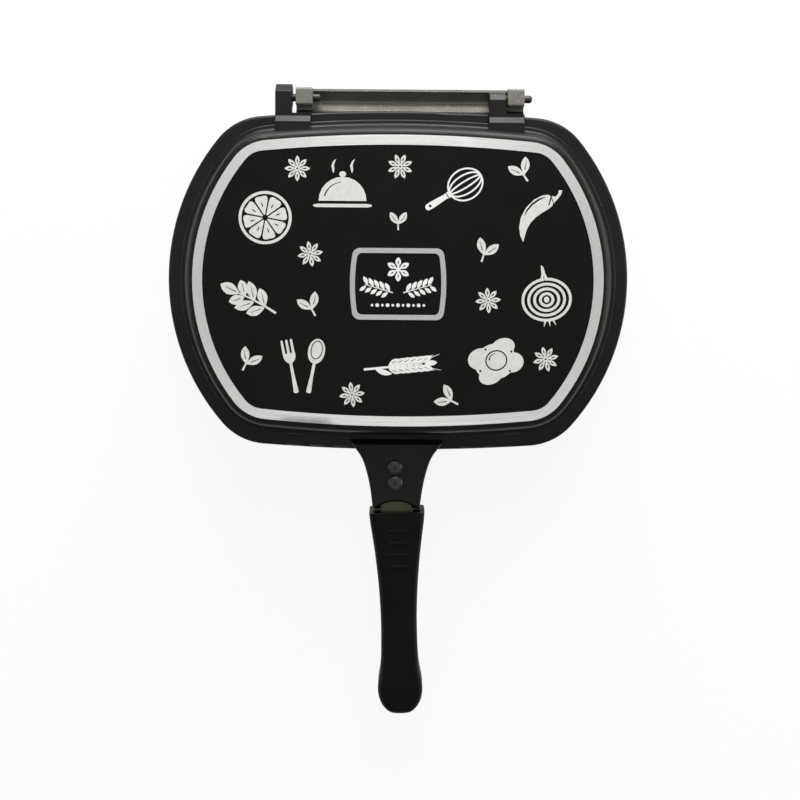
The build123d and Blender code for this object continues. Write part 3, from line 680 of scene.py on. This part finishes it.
@dataclass
class Pen:
    """Draws flat shapes into one mesh in edit mode, as strokes and rounds.

    Lengths are in millimetres and angles in degrees, counter-clockwise from +X. Each shape lies
    a hair higher than the one before, so that no two of their tops coincide.
    """

    least_width = 0.05
    lift = 0.002 * MM
    round_points = 40
    arc_step = 12.0

    name: str
    thickness: float
    piece: bpy.types.Object | None = field(default=None, init=False)
    height: float = field(default=0.0, init=False)

    def start(self) -> None:
        """Adds an empty mesh and opens it."""
        bpy.ops.object.select_all(action="DESELECT")
        bpy.ops.mesh.primitive_plane_add(size=1.0)
        self.piece = bpy.context.object
        self.piece.name = self.name
        bpy.ops.object.mode_set(mode="EDIT")
        bpy.ops.mesh.delete(type="VERT")

    def turn(self, angle: float, x: float, y: float) -> None:
        """Turns what is selected about a spot. Without a window the operator turns clockwise."""
        bpy.ops.transform.rotate(value=math.radians(-angle), orient_axis="Z",
                                 center_override=(x * MM, y * MM, 0.0))

    def scale(self, across: float, along: float, x: float, y: float) -> None:
        """Scales what is selected from a spot, along X and Y."""
        bpy.ops.transform.resize(value=(across, along, 1.0),
                                 center_override=(x * MM, y * MM, 0.0))

    def cross_edge(self, x: float, y: float, heading: float, width: float) -> None:
        """Adds and selects one edge that lies across a heading."""
        self.height += self.lift
        bpy.ops.mesh.select_all(action="DESELECT")
        bpy.ops.mesh.primitive_plane_add(size=width * MM, location=(x * MM, y * MM, self.height))
        points = bmesh.from_edit_mesh(self.piece.data)
        for point in points.verts:
            point.select = point.select and point.co.x < x * MM
        points.select_flush_mode()
        bpy.ops.mesh.delete(type="VERT")
        points = bmesh.from_edit_mesh(self.piece.data)
        points.verts.ensure_lookup_table()
        for point in points.verts[-2:]:
            point.select = True
        points.select_flush(True)
        bpy.ops.transform.translate(value=(-width / 2 * MM, 0.0, 0.0))
        self.turn(heading, x, y)

    def stroke(self, x: float, y: float, heading: float, width: float,
               steps: Iterable[Step]) -> None:
        """Draws a band that bends and swells as it goes.

        Args:
            x: Start, across.
            y: Start, up.
            heading: First direction.
            width: Width at the start.
            steps: Length, bend and new width of each stretch.
        """
        self.cross_edge(x, y, heading, width)
        for length, bend, new_width in steps:
            heading += bend / 2
            step = Vector((length, 0.0)) @ Matrix.Rotation(-math.radians(heading), 2)
            x, y = x + step.x, y + step.y
            bpy.ops.mesh.extrude_region_move(
                TRANSFORM_OT_translate={"value": (step.x * MM, step.y * MM, 0.0)}
            )
            self.turn(bend, x, y)
            new_width = max(new_width, self.least_width)
            self.scale(new_width / width, new_width / width, x, y)
            heading += bend / 2
            width = new_width

    def leaf(self, x: float, y: float, heading: float, length: float, width: float,
             bend: float = 0.0) -> None:
        """Draws a pointed leaf that starts at a spot."""
        swell = (0.55, 0.85, 1.0, 0.9, 0.62, 0.05)
        count = len(swell)
        self.stroke(x, y, heading, 0.2 * width,
                    [(length / count, bend / count, width * share) for share in swell])

    def arc(self, x: float, y: float, radius: float, start: float, sweep: float,
            width: float, taper: float = 1.0) -> None:
        """Draws part of a ring about a spot, narrowing to a share of its width."""
        count = max(4, round(abs(sweep) / self.arc_step))
        turn = sweep / count
        chord = 2 * radius * math.sin(math.radians(abs(turn) / 2))
        side = math.copysign(90.0, sweep)
        shares = [1 + (taper - 1) * (i + 1) / count for i in range(count)]
        self.stroke(x + radius * math.cos(math.radians(start)),
                    y + radius * math.sin(math.radians(start)), start + side, width,
                    [(chord, turn, width * share) for share in shares])

    def round(self, x: float, y: float, half_w: float, half_h: float,
              angle: float = 0.0) -> None:
        """Draws a filled round or oval."""
        self.height += self.lift
        bpy.ops.mesh.select_all(action="DESELECT")
        bpy.ops.mesh.primitive_circle_add(
            vertices=self.round_points, radius=half_w * MM, fill_type="NGON",
            location=(x * MM, y * MM, self.height),
        )
        self.scale(1.0, half_h / half_w, x, y)
        self.turn(angle, x, y)

    def loop(self, x: float, y: float, half_w: float, half_h: float, width: float,
             angle: float = 0.0) -> None:
        """Draws the outline of a round or oval."""
        self.round(x, y, half_w, half_h)
        bpy.ops.mesh.inset(thickness=width * MM)
        bpy.ops.mesh.delete(type="ONLY_FACE")
        points = bmesh.from_edit_mesh(self.piece.data)
        points.verts.ensure_lookup_table()
        for point in points.verts[-2 * self.round_points:]:
            point.select = True
        points.select_flush(True)
        self.turn(angle, x, y)

    def dome(self, x: float, y: float, radius: float) -> None:
        """Draws the upper half of a round."""
        rises = [math.radians(15 * i) for i in range(7)]
        self.stroke(x, y, 90.0, 2 * radius, [
            (radius * (math.sin(new) - math.sin(old)), 0.0, 2 * radius * math.cos(new))
            for old, new in zip(rises, rises[1:])
        ])

    def finish(self) -> bpy.types.Object:
        """Gives the shapes their thickness, closes the mesh and returns the piece."""
        bpy.ops.mesh.select_all(action="SELECT")
        bpy.ops.mesh.extrude_region_move(
            TRANSFORM_OT_translate={"value": (0.0, 0.0, self.thickness)}
        )
        bpy.ops.mesh.select_all(action="SELECT")
        bpy.ops.mesh.normals_make_consistent(inside=False)
        bpy.ops.object.mode_set(mode="OBJECT")
        return self.piece


class Motif(Enum):
    """Motifs of the printed design."""

    CLOCHE = "cloche"
    WHISK = "whisk"
    CITRUS = "citrus"
    CHILLI = "chilli"
    SPRIG = "sprig"
    ONION = "onion"
    CUTLERY = "cutlery"
    WHEAT = "wheat"
    EGG = "egg"
    STAR = "star"
    TWIN_LEAF = "twin_leaf"
    PLAQUE = "plaque"


@dataclass(frozen=True)
class Print:
    """One print of a motif on the panel, in millimetres and degrees."""

    motif: Motif
    spot: Point
    turn: float = 0.0
    size: float = 1.0
    ink: Ink = Ink.SILVER


@dataclass
class PrintedDesign:
    """Kitchen motifs printed in silver on the upper base, inside the machined ring."""

    panel: float = 71.6 * MM
    ink_thickness: float = 0.05 * MM
    line_thickness: float = 0.065 * MM
    frame_middle: Point = (0.2, -2.1)

    def prints(self) -> Sequence[Print]:
        """The design's layout."""
        return (
            Print(Motif.CLOCHE, (-42.0, 68.0), 0.0),
            Print(Motif.WHISK, (42.0, 68.0), -58.0, 1.05, Ink.BRIGHT),
            Print(Motif.CITRUS, (-100.0, 47.0), 12.0),
            Print(Motif.CHILLI, (98.0, 52.0), 0.0),
            Print(Motif.SPRIG, (-112.0, -14.0), 62.0),
            Print(Motif.ONION, (112.0, -12.0), 8.0),
            Print(Motif.CUTLERY, (-72.0, -62.0), 0.0),
            Print(Motif.WHEAT, (2.0, -64.0), -84.0, 1.05, Ink.BRIGHT),
            Print(Motif.EGG, (74.0, -60.0), 20.0),
            Print(Motif.STAR, (-66.0, 20.0), 10.0),
            Print(Motif.TWIN_LEAF, (66.0, 24.0), -20.0),
            Print(Motif.TWIN_LEAF, (0.0, 46.0), 0.0, 0.8),
            Print(Motif.STAR, (-76.0, 84.0), 0.0),
            Print(Motif.STAR, (1.0, 86.0), 22.0),
            Print(Motif.TWIN_LEAF, (92.0, 84.0), 30.0),
            Print(Motif.TWIN_LEAF, (-66.0, -18.0), 25.0),
            Print(Motif.STAR, (68.0, -14.0), 5.0),
            Print(Motif.TWIN_LEAF, (-112.0, -60.0), -30.0),
            Print(Motif.STAR, (112.0, -58.0), 15.0),
            Print(Motif.STAR, (-34.0, -86.0), 8.0),
            Print(Motif.TWIN_LEAF, (38.0, -88.0), 60.0),
            Print(Motif.PLAQUE, self.frame_middle, 0.0, 1.0, Ink.BRIGHT),
        )

    def draw_cloche(self, pen: Pen, lines: Pen) -> None:
        """Serving dome on a tray, with two wisps of steam."""
        pen.dome(0.0, -8.0, 18.0)
        pen.round(0.0, 12.0, 2.6, 2.2)
        pen.stroke(-22.0, -11.5, 0.0, 1.2, [(3.0, 0.0, 2.6), (38.0, 0.0, 2.6), (3.0, 0.0, 1.2)])
        for x in (-7.0, 7.0):
            pen.stroke(x, 13.0, 75.0, 0.6, [(2.5, 30.0, 1.8), (3.0, -10.0, 2.0),
                                            (2.8, -50.0, 1.5), (2.5, 20.0, 0.2)])
        lines.arc(0.0, -8.0, 14.0, 165.0, -70.0, 1.1, 0.3)
        lines.stroke(-19.0, -8.6, 0.0, 0.7, [(38.0, 0.0, 0.7)])

    def draw_whisk(self, pen: Pen, lines: Pen) -> None:
        """Balloon whisk."""
        pen.stroke(0.0, -24.0, 90.0, 2.0, [(1.2, 0.0, 4.4), (4.0, 0.0, 5.0), (11.0, 0.0, 3.6),
                                           (2.4, 0.0, 4.8), (2.2, 0.0, 3.4)])
        for half_w in (11.5, 7.2, 2.8):
            pen.loop(0.0, 9.0, half_w, 13.5, 1.2)
        lines.round(0.0, -20.4, 1.0, 1.0)
        lines.stroke(-2.6, -6.0, 0.0, 0.7, [(5.2, 0.0, 0.7)])

    def draw_citrus(self, pen: Pen, lines: Pen) -> None:
        """Slice of citrus with eight segments."""
        pen.loop(0.0, 0.0, 20.0, 20.0, 2.2)
        for index in range(8):
            angle = 45.0 * index
            x, y = (2.2 * f(math.radians(angle)) for f in (math.cos, math.sin))
            pen.stroke(x, y, angle, 0.8, [(5.0, 0.0, 4.8), (5.5, 0.0, 9.2), (2.4, 0.0, 9.4),
                                          (1.1, 0.0, 6.5)])
            lines.leaf(3.6 * x, 3.6 * y, angle + 8.0, 4.0, 0.9)

    def draw_chilli(self, pen: Pen, lines: Pen) -> None:
        """Curved chilli with its stalk."""
        pen.stroke(17.0, 10.0, 200.0, 6.0, [
            (1.2, 0.0, 9.0), (4.0, 4.0, 11.2), (6.0, 10.0, 11.6), (7.0, 14.0, 10.4),
            (7.0, 16.0, 8.4), (6.5, 16.0, 6.0), (5.5, 14.0, 3.6), (4.5, 6.0, 0.4),
        ])
        pen.stroke(17.6, 10.2, 20.0, 6.4, [(1.4, 0.0, 4.0), (2.0, 14.0, 2.4), (3.4, 34.0, 2.2),
                                           (3.0, 24.0, 2.9)])
        lines.stroke(17.2, 14.8, 255.0, 1.0, [(4.8, 0.0, 1.0), (4.6, 0.0, 0.8)])
        lines.stroke(12.0, 12.0, 196.0, 0.5, [(5.0, 12.0, 1.3), (6.0, 14.0, 1.4),
                                              (6.0, 16.0, 1.1), (5.0, 14.0, 0.2)])

    def draw_sprig(self, pen: Pen, lines: Pen) -> None:
        """Herb sprig with seven leaves."""
        pen.stroke(0.0, -23.0, 84.0, 1.8, [(11.0, 4.0, 1.5), (11.0, 4.0, 1.3), (11.0, 4.0, 1.0)])
        pen.leaf(0.0, 9.0, 92.0, 15.0, 9.0)
        lines.stroke(0.0, 11.0, 92.0, 0.7, [(9.0, 0.0, 0.3)])
        for y, length in ((-13.0, 14.0), (-4.0, 15.0), (4.0, 12.0)):
            for side in (-1.0, 1.0):
                heading = 90.0 - side * 52.0
                pen.leaf(side * 0.6, y, heading, length, 7.6, side * 12.0)
                lines.stroke(side * 2.6, y + 1.6, heading, 0.6,
                             [(length * 0.55, side * 6.0, 0.3)])

    def draw_onion(self, pen: Pen, lines: Pen) -> None:
        """Halved onion with its rings, tip and root."""
        for half_w, half_h in ((19.0, 16.5), (14.6, 12.8), (10.2, 9.2), (5.8, 5.6)):
            pen.loop(0.0, -1.0, half_w, half_h, 2.1)
        pen.round(0.0, -1.0, 2.0, 2.3)
        pen.stroke(0.0, 13.6, 90.0, 9.0, [(2.0, 0.0, 5.0), (3.2, 0.0, 2.8), (4.4, 8.0, 2.0),
                                          (2.0, 8.0, 0.4)])
        for x, angle in ((-3.0, 250.0), (0.0, 270.0), (3.0, 290.0)):
            pen.stroke(x, -16.8, angle, 1.6, [(4.4, 0.0, 0.4)])
        lines.stroke(0.0, 12.0, 90.0, 0.5, [(5.0, 0.0, 0.4)])

    def draw_cutlery(self, pen: Pen, lines: Pen) -> None:
        """Fork and spoon, side by side and spread at the top."""
        pen.stroke(-4.0, -23.0, 101.0, 2.6, [(1.0, 0.0, 3.8), (12.0, 0.0, 2.4), (10.0, 0.0, 2.0)])
        pen.stroke(-8.3, -0.9, 101.0, 2.0, [(2.4, 0.0, 7.0), (2.6, 0.0, 9.2), (3.0, 0.0, 9.4)])
        for offset in (-3.6, 0.0, 3.6):
            pen.stroke(-9.9 + offset * 0.98, 6.6 + offset * 0.19, 101.0, 2.1,
                       [(10.0, 0.0, 1.7), (0.8, 0.0, 0.8)])
        pen.stroke(5.0, -23.0, 79.0, 2.6, [(1.0, 0.0, 3.8), (12.0, 0.0, 2.4), (12.0, 0.0, 2.2)])
        pen.round(11.0, 8.6, 6.4, 9.6, -11.0)
        lines.loop(11.2, 9.6, 4.5, 7.2, 0.7, -11.0)

    def draw_wheat(self, pen: Pen, lines: Pen) -> None:
        """Ear of wheat with its beard."""
        pen.stroke(0.0, -26.0, 90.0, 1.7, [(18.0, 0.0, 1.5), (24.0, 0.0, 1.0)])
        for index in range(6):
            y = -8.0 + 4.6 * index
            for side in (-1.0, 1.0):
                pen.leaf(side * 1.0, y, 90.0 - side * 30.0, 9.4, 4.4, side * 14.0)
                lines.stroke(side * 2.6, y + 2.6, 90.0 - side * 26.0, 0.45,
                             [(3.6, side * 6.0, 0.2)])
                pen.stroke(side * 4.0, y + 8.0, 90.0 - side * 16.0, 0.6, [(6.5, 0.0, 0.2)])
        pen.leaf(0.0, 18.0, 90.0, 9.0, 4.0)
        pen.leaf(0.0, -18.0, 52.0, 13.0, 4.0, 30.0)

    def draw_egg(self, pen: Pen, lines: Pen) -> None:
        """Fried egg."""
        for x, y, half_w, half_h in ((0.0, 0.0, 16.0, 13.5), (-10.0, 5.5, 9.5, 8.0),
                                     (9.0, 8.0, 9.0, 7.0), (12.0, -5.0, 8.5, 7.5),
                                     (-7.0, -9.0, 9.0, 6.5)):
            pen.round(x, y, half_w, half_h)
        lines.loop(1.0, 0.5, 8.4, 7.8, 1.0)
        lines.arc(1.0, 0.5, 5.4, 160.0, -80.0, 1.1, 0.3)
        for x, y in ((-13.0, -3.0), (14.0, 3.0), (-4.0, 11.0), (8.0, -10.5)):
            lines.round(x, y, 0.8, 0.8)

    def draw_star(self, pen: Pen, lines: Pen) -> None:
        """Star of spice with eight pods."""
        for index in range(8):
            angle = 45.0 * index
            x, y = (1.8 * f(math.radians(angle)) for f in (math.cos, math.sin))
            pen.leaf(x, y, angle, 7.8, 3.5)
            lines.leaf(2.3 * x, 2.3 * y, angle, 3.0, 0.9)
        pen.round(0.0, 0.0, 2.0, 2.0)
        lines.round(0.0, 0.0, 0.7, 0.7)

    def draw_twin_leaf(self, pen: Pen, lines: Pen) -> None:
        """Two small leaves on a short stalk."""
        pen.stroke(0.0, -9.5, 90.0, 1.5, [(5.5, 6.0, 1.3), (4.0, 6.0, 0.9)])
        for side in (-1.0, 1.0):
            heading = 90.0 - side * 42.0
            pen.leaf(side * 0.2, -3.4, heading, 13.0, 6.6, side * 16.0)
            lines.stroke(side * 2.4, -1.0, heading, 0.7, [(7.0, side * 8.0, 0.3)])

    def draw_plaque(self, pen: Pen, lines: Pen) -> None:
        """Flower over two laurel branches and a row of beads."""
        for index in range(6):
            angle = 60.0 * index + 30.0
            x, y = (1.8 * f(math.radians(angle)) for f in (math.cos, math.sin))
            pen.leaf(x, y + 11.0, angle, 7.4, 4.4)
            lines.leaf(2.0 * x, 2.0 * y + 11.0, angle, 3.0, 0.7)
        pen.round(0.0, 11.0, 1.8, 1.8)
        for side in (-1.0, 1.0):
            pen.stroke(side * 4.0, -6.5, 90.0 - side * 84.0, 0.9, [(22.0, side * 20.0, 0.5)])
            for index in range(5):
                x, y = side * (6.4 + 4.1 * index), -5.4 + 1.2 * index
                pen.leaf(x, y, 90.0 - side * 24.0, 7.0, 3.1, side * -10.0)
                pen.leaf(x + side * 1.4, y - 1.0, 90.0 - side * 128.0, 6.0, 2.8)
        for index in range(-5, 6):
            radius = 1.0 if index % 2 else 1.4
            pen.round(3.9 * index, -16.0, radius, radius)

    def draw(self, motif: Motif) -> tuple[bpy.types.Object, bpy.types.Object]:
        """Draws one motif at the origin.

        Args:
            motif: The motif to draw.

        Returns:
            Its inked shapes, and the fine lines that lie on them.
        """
        method = getattr(self, f"draw_{motif.value}")
        ink_pen = Pen(motif.value, self.ink_thickness)
        ink_pen.start()
        method(ink_pen, Silent())
        ink = ink_pen.finish()
        line_pen = Pen(f"{motif.value}_lines", self.line_thickness + ink_pen.height)
        line_pen.start()
        method(Silent(), line_pen)
        return ink, line_pen.finish()

    def lay(self, master: bpy.types.Object, item: Print, name: str,
            material: bpy.types.Material) -> None:
        """Lays a copy of a drawn motif on the panel, with its place in its mesh.

        Args:
            master: The drawn shapes.
            item: Place, angle and size of the print.
            name: Name of the new piece.
            material: Its finish.
        """
        piece = bpy.data.objects.new(name, master.data.copy())
        piece.data.transform(
            Matrix.Translation((item.spot[0] * MM, item.spot[1] * MM, self.panel))
            @ Matrix.Rotation(math.radians(item.turn), 4, "Z")
            @ Matrix.Diagonal((item.size, item.size, 1.0, 1.0))
        )
        bpy.context.scene.collection.objects.link(piece)
        dress(piece, material)
        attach(piece, Half.UPPER.value)

    def build(self, inks: dict[Ink, bpy.types.Material], line_paint: bpy.types.Material) -> None:
        """Draws each motif once and lays its prints.

        Args:
            inks: Material of each ink.
            line_paint: The panel's black, for the fine lines inside a motif.
        """
        masters: dict[Motif, tuple[bpy.types.Object, bpy.types.Object]] = {}
        for index, item in enumerate(self.prints()):
            if item.motif not in masters:
                masters[item.motif] = self.draw(item.motif)
            ink, lines = masters[item.motif]
            name = f"print_{index + 1:02d}_{item.motif.value}"
            self.lay(ink, item, name, inks[item.ink])
            self.lay(lines, item, f"{name}_lines", line_paint)
            log.info("%s: printed", name)
        for pair in masters.values():
            for master in pair:
                bpy.data.objects.remove(master)


class Silent:
    """Stands in for the pen that is not drawing, and draws nothing."""

    def __getattr__(self, name: str) -> Callable[..., None]:
        """Returns a method that does nothing."""
        return lambda *args, **kwargs: None


# ---- Fittings that keep their CAD shapes ---------------------------------------------------


def dress_node(node: str, material: bpy.types.Material) -> None:
    """Puts a finish on a CAD node's own mesh and reports it."""
    dress(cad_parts[node], material)
    log.info("%s: dressed", node)


@dataclass(frozen=True)
class HingePins:
    """The two pins of the hinge, fixed in the upper half's arms."""

    finish: FineCoat = FineCoat("painted_pin", (0.01, 0.01, 0.009), 0.4)

    def build(self) -> None:
        """Dresses both pins."""
        material = self.finish.material()
        for side in ("left", "right"):
            dress_node(f"hinge_pin_{side}", material)


@dataclass(frozen=True)
class RimSeal:
    """The soft seal in the upper half's groove."""

    finish: FineCoat = FineCoat("soft_seal", (0.055, 0.055, 0.053), 0.62)

    def build(self) -> None:
        """Dresses the seal."""
        dress_node("rim_gasket", self.finish.material())


@dataclass(frozen=True)
class HandleSet:
    """Grip, tang, screws, nuts and magnet set of each half."""

    grip: MouldedPhenolic = MouldedPhenolic()
    tang: BareSteel = BareSteel("tang_steel_drawn", (0.11, 0.105, 0.075), 0.42)
    screw: FineCoat = FineCoat("dark_zinc", (0.045, 0.045, 0.042), 0.36, 0.6)
    zinc: BareSteel = BareSteel("plain_zinc", (0.6, 0.6, 0.58), 0.4, (900.0, 900.0, 900.0))
    cup: BareSteel = BareSteel("nickel_cup", (0.66, 0.64, 0.6), 0.24, (700.0, 700.0, 700.0))
    ferrite: FineCoat = FineCoat("ferrite", (0.05, 0.05, 0.052), 0.5, 0.2, 2600.0)

    def build(self) -> None:
        """Dresses the pieces of both handles, each finish made once."""
        screw, zinc = self.screw.material(), self.zinc.material()
        materials = {
            "grip": self.grip.material(), "tang": self.tang.material(),
            "bracket_screws": screw, "bracket_nuts": zinc, "grip_screw": screw,
            "magnet": self.ferrite.material(), "magnet_cup": self.cup.material(),
            "magnet_screw": zinc,
        }
        for half in Half:
            for part, material in materials.items():
                dress_node(f"{half.value}_{part}", material)


# ---- Studio --------------------------------------------------------------------------------


@dataclass(frozen=True)
class Softbox:
    """One soft rectangular lamp, aimed at a point."""

    name: str
    place: tuple[float, float, float]
    aim: tuple[float, float, float]
    size: Point
    power: float

    def build(self) -> None:
        """Adds the lamp."""
        lamp = bpy.data.lights.new(self.name, "AREA")
        lamp.shape = "RECTANGLE"
        lamp.size, lamp.size_y = self.size
        lamp.energy = self.power
        piece = bpy.data.objects.new(self.name, lamp)
        piece.location = self.place
        direction = Vector(self.aim) - Vector(self.place)
        piece.rotation_euler = direction.to_track_quat("-Z", "Y").to_euler()
        bpy.context.scene.collection.objects.link(piece)


@dataclass
class Studio:
    """Pale floor, soft light and a camera almost straight above the pan."""

    floor_size: float = 6.0
    floor_drop: float = 0.2 * MM
    floor_colour: Colour = (0.86, 0.86, 0.86)
    shadow_share: float = 0.1
    world_level: float = 0.3
    camera_place: tuple[float, float, float] = (0.0017, 0.0234, 0.8986)
    camera_lean: float = -2.389
    camera_roll: float = 0.454
    sensor: float = 36.0
    clip: Point = (0.05, 20.0)
    lens: float = 49.47
    shift: float = -0.13

    def seen_directly(self, tree: bpy.types.NodeTree) -> bpy.types.NodeSocket:
        """A factor that is 1 for camera, mirror and glass rays, and 0 for the rest."""
        path = tree.nodes.new("ShaderNodeLightPath")
        total = path.outputs["Is Camera Ray"]
        for name in ("Is Glossy Ray", "Is Transmission Ray"):
            most = tree.nodes.new("ShaderNodeMath")
            most.operation = "MAXIMUM"
            tree.links.new(total, most.inputs[0])
            tree.links.new(path.outputs[name], most.inputs[1])
            total = most.outputs[0]
        return total

    def build_floor(self) -> None:
        """Adds a floor that looks white and keeps a faint shadow."""
        bpy.ops.object.select_all(action="DESELECT")
        bpy.ops.mesh.primitive_plane_add(size=self.floor_size,
                                         location=(0.0, 0.0, -self.floor_drop))
        floor = bpy.context.object
        floor.name = "floor"
        material = bpy.data.materials.new("floor_paper")
        material.use_nodes = True
        tree = material.node_tree
        tree.nodes.clear()
        paper = tree.nodes.new("ShaderNodeBsdfDiffuse")
        paper.inputs["Color"].default_value = (*self.floor_colour, 1.0)
        glow = tree.nodes.new("ShaderNodeEmission")
        mix = tree.nodes.new("ShaderNodeMixShader")
        share = tree.nodes.new("ShaderNodeMath")
        share.operation = "MULTIPLY"
        share.inputs[1].default_value = 1.0 - self.shadow_share
        tree.links.new(self.seen_directly(tree), share.inputs[0])
        tree.links.new(share.outputs[0], mix.inputs[0])
        tree.links.new(paper.outputs[0], mix.inputs[1])
        tree.links.new(glow.outputs[0], mix.inputs[2])
        output = tree.nodes.new("ShaderNodeOutputMaterial")
        tree.links.new(mix.outputs[0], output.inputs["Surface"])
        dress(floor, material)

    def build_world(self) -> None:
        """Adds an even surround that the camera sees as white."""
        world = bpy.data.worlds.new("surround")
        bpy.context.scene.world = world
        world.use_nodes = True
        tree = world.node_tree
        tree.nodes.clear()
        near = tree.nodes.new("ShaderNodeBackground")
        near.inputs["Color"].default_value = (1.0, 1.0, 1.0, 1.0)
        near.inputs["Strength"].default_value = self.world_level
        seen = tree.nodes.new("ShaderNodeBackground")
        path = tree.nodes.new("ShaderNodeLightPath")
        mix = tree.nodes.new("ShaderNodeMixShader")
        tree.links.new(path.outputs["Is Camera Ray"], mix.inputs[0])
        tree.links.new(near.outputs[0], mix.inputs[1])
        tree.links.new(seen.outputs[0], mix.inputs[2])
        output = tree.nodes.new("ShaderNodeOutputWorld")
        tree.links.new(mix.outputs[0], output.inputs["Surface"])

    def build_lights(self) -> None:
        """Adds the lamps, the two strongest beyond the hinge and the panels overhead."""
        for box in (
            Softbox("key", (0.1, 1.7, 0.48), (0.0, 0.1, 0.04), (1.7, 0.45), 46.0),
            Softbox("upper_key", (0.1, 1.5, 1.1), (0.0, 0.1, 0.04), (1.7, 0.8), 22.0),
            Softbox("left", (-1.6, 0.1, 0.42), (0.0, 0.0, 0.04), (1.0, 0.3), 4.0),
            Softbox("right", (1.6, 0.1, 0.42), (0.0, 0.0, 0.04), (1.0, 0.3), 8.0),
            Softbox("left_panel", (-0.75, -0.06, 2.2), (-0.75, -0.06, 0.0), (0.9, 0.5), 0.4),
            Softbox("right_panel", (0.75, -0.06, 2.2), (0.75, -0.06, 0.0), (0.9, 0.5), 0.4),
            Softbox("back_panel", (0.0, 0.66, 2.2), (0.0, 0.66, 0.0), (2.2, 1.0), 3.3),
            Softbox("front_panel", (0.0, -0.5, 2.2), (0.0, -0.5, 0.0), (2.2, 0.42), 1.4),
            Softbox("back_strip", (0.0, 0.5, 2.15), (0.0, 0.5, 0.0), (0.48, 0.6), 0.42),
            Softbox("front_strip", (0.0, -0.5, 2.15), (0.0, -0.5, 0.0), (0.48, 0.4), 0.2),
        ):
            box.build()

    def build_camera(self) -> None:
        """Adds the camera, a little nearer the middle than the photograph's."""
        camera = bpy.data.cameras.new("camera")
        camera.lens = self.lens
        camera.sensor_width = self.sensor
        camera.shift_y = self.shift
        camera.clip_start, camera.clip_end = self.clip
        piece = bpy.data.objects.new("camera", camera)
        lean = Matrix.Rotation(math.radians(self.camera_lean), 4, "X")
        roll = Matrix.Rotation(math.radians(self.camera_roll), 4, "Z")
        piece.matrix_world = Matrix.Translation(self.camera_place) @ lean @ roll
        bpy.context.scene.collection.objects.link(piece)
        bpy.context.scene.camera = piece

    def build(self) -> None:
        """Builds the whole set."""
        self.build_floor()
        self.build_world()
        self.build_lights()
        self.build_camera()
        bpy.context.scene.view_settings.view_transform = "Standard"


# ---- The whole scene -----------------------------------------------------------------------


def main() -> None:
    """Builds the sub-assemblies in order."""
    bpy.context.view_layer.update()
    panel = PanelPaint().material()
    zones = {
        Zone.OUTSIDE: BakedCoat().material(),
        Zone.INSIDE: SpeckledCoat().material(),
        Zone.PANEL: panel,
        Zone.MACHINED: MachinedFace().material(),
        # The trough gets a darker copy of the lugs' speckled coat, with dimmer flecks: painted
        # shade for the hollow that its far wall and the arms keep in shadow.
        Zone.TROUGH: SpeckledCoat("stained_coat", (0.11, 0.103, 0.083),
                                  (0.22, 0.21, 0.18)).material(),
    }
    for half in Half:
        PanHalf(half).build(zones)
    HingePins().build()
    RimSeal().build()
    HandleSet().build()
    inks = {
        Ink.SILVER: PrintedInk("silver_ink", (0.66, 0.66, 0.62)).material(),
        Ink.BRIGHT: PrintedInk("bright_ink", (0.8, 0.8, 0.77)).material(),
    }
    PrintedDesign().build(inks, panel)
    Studio().build()


if __name__ == "__main__":
    logging.basicConfig(level=logging.INFO)
    main()
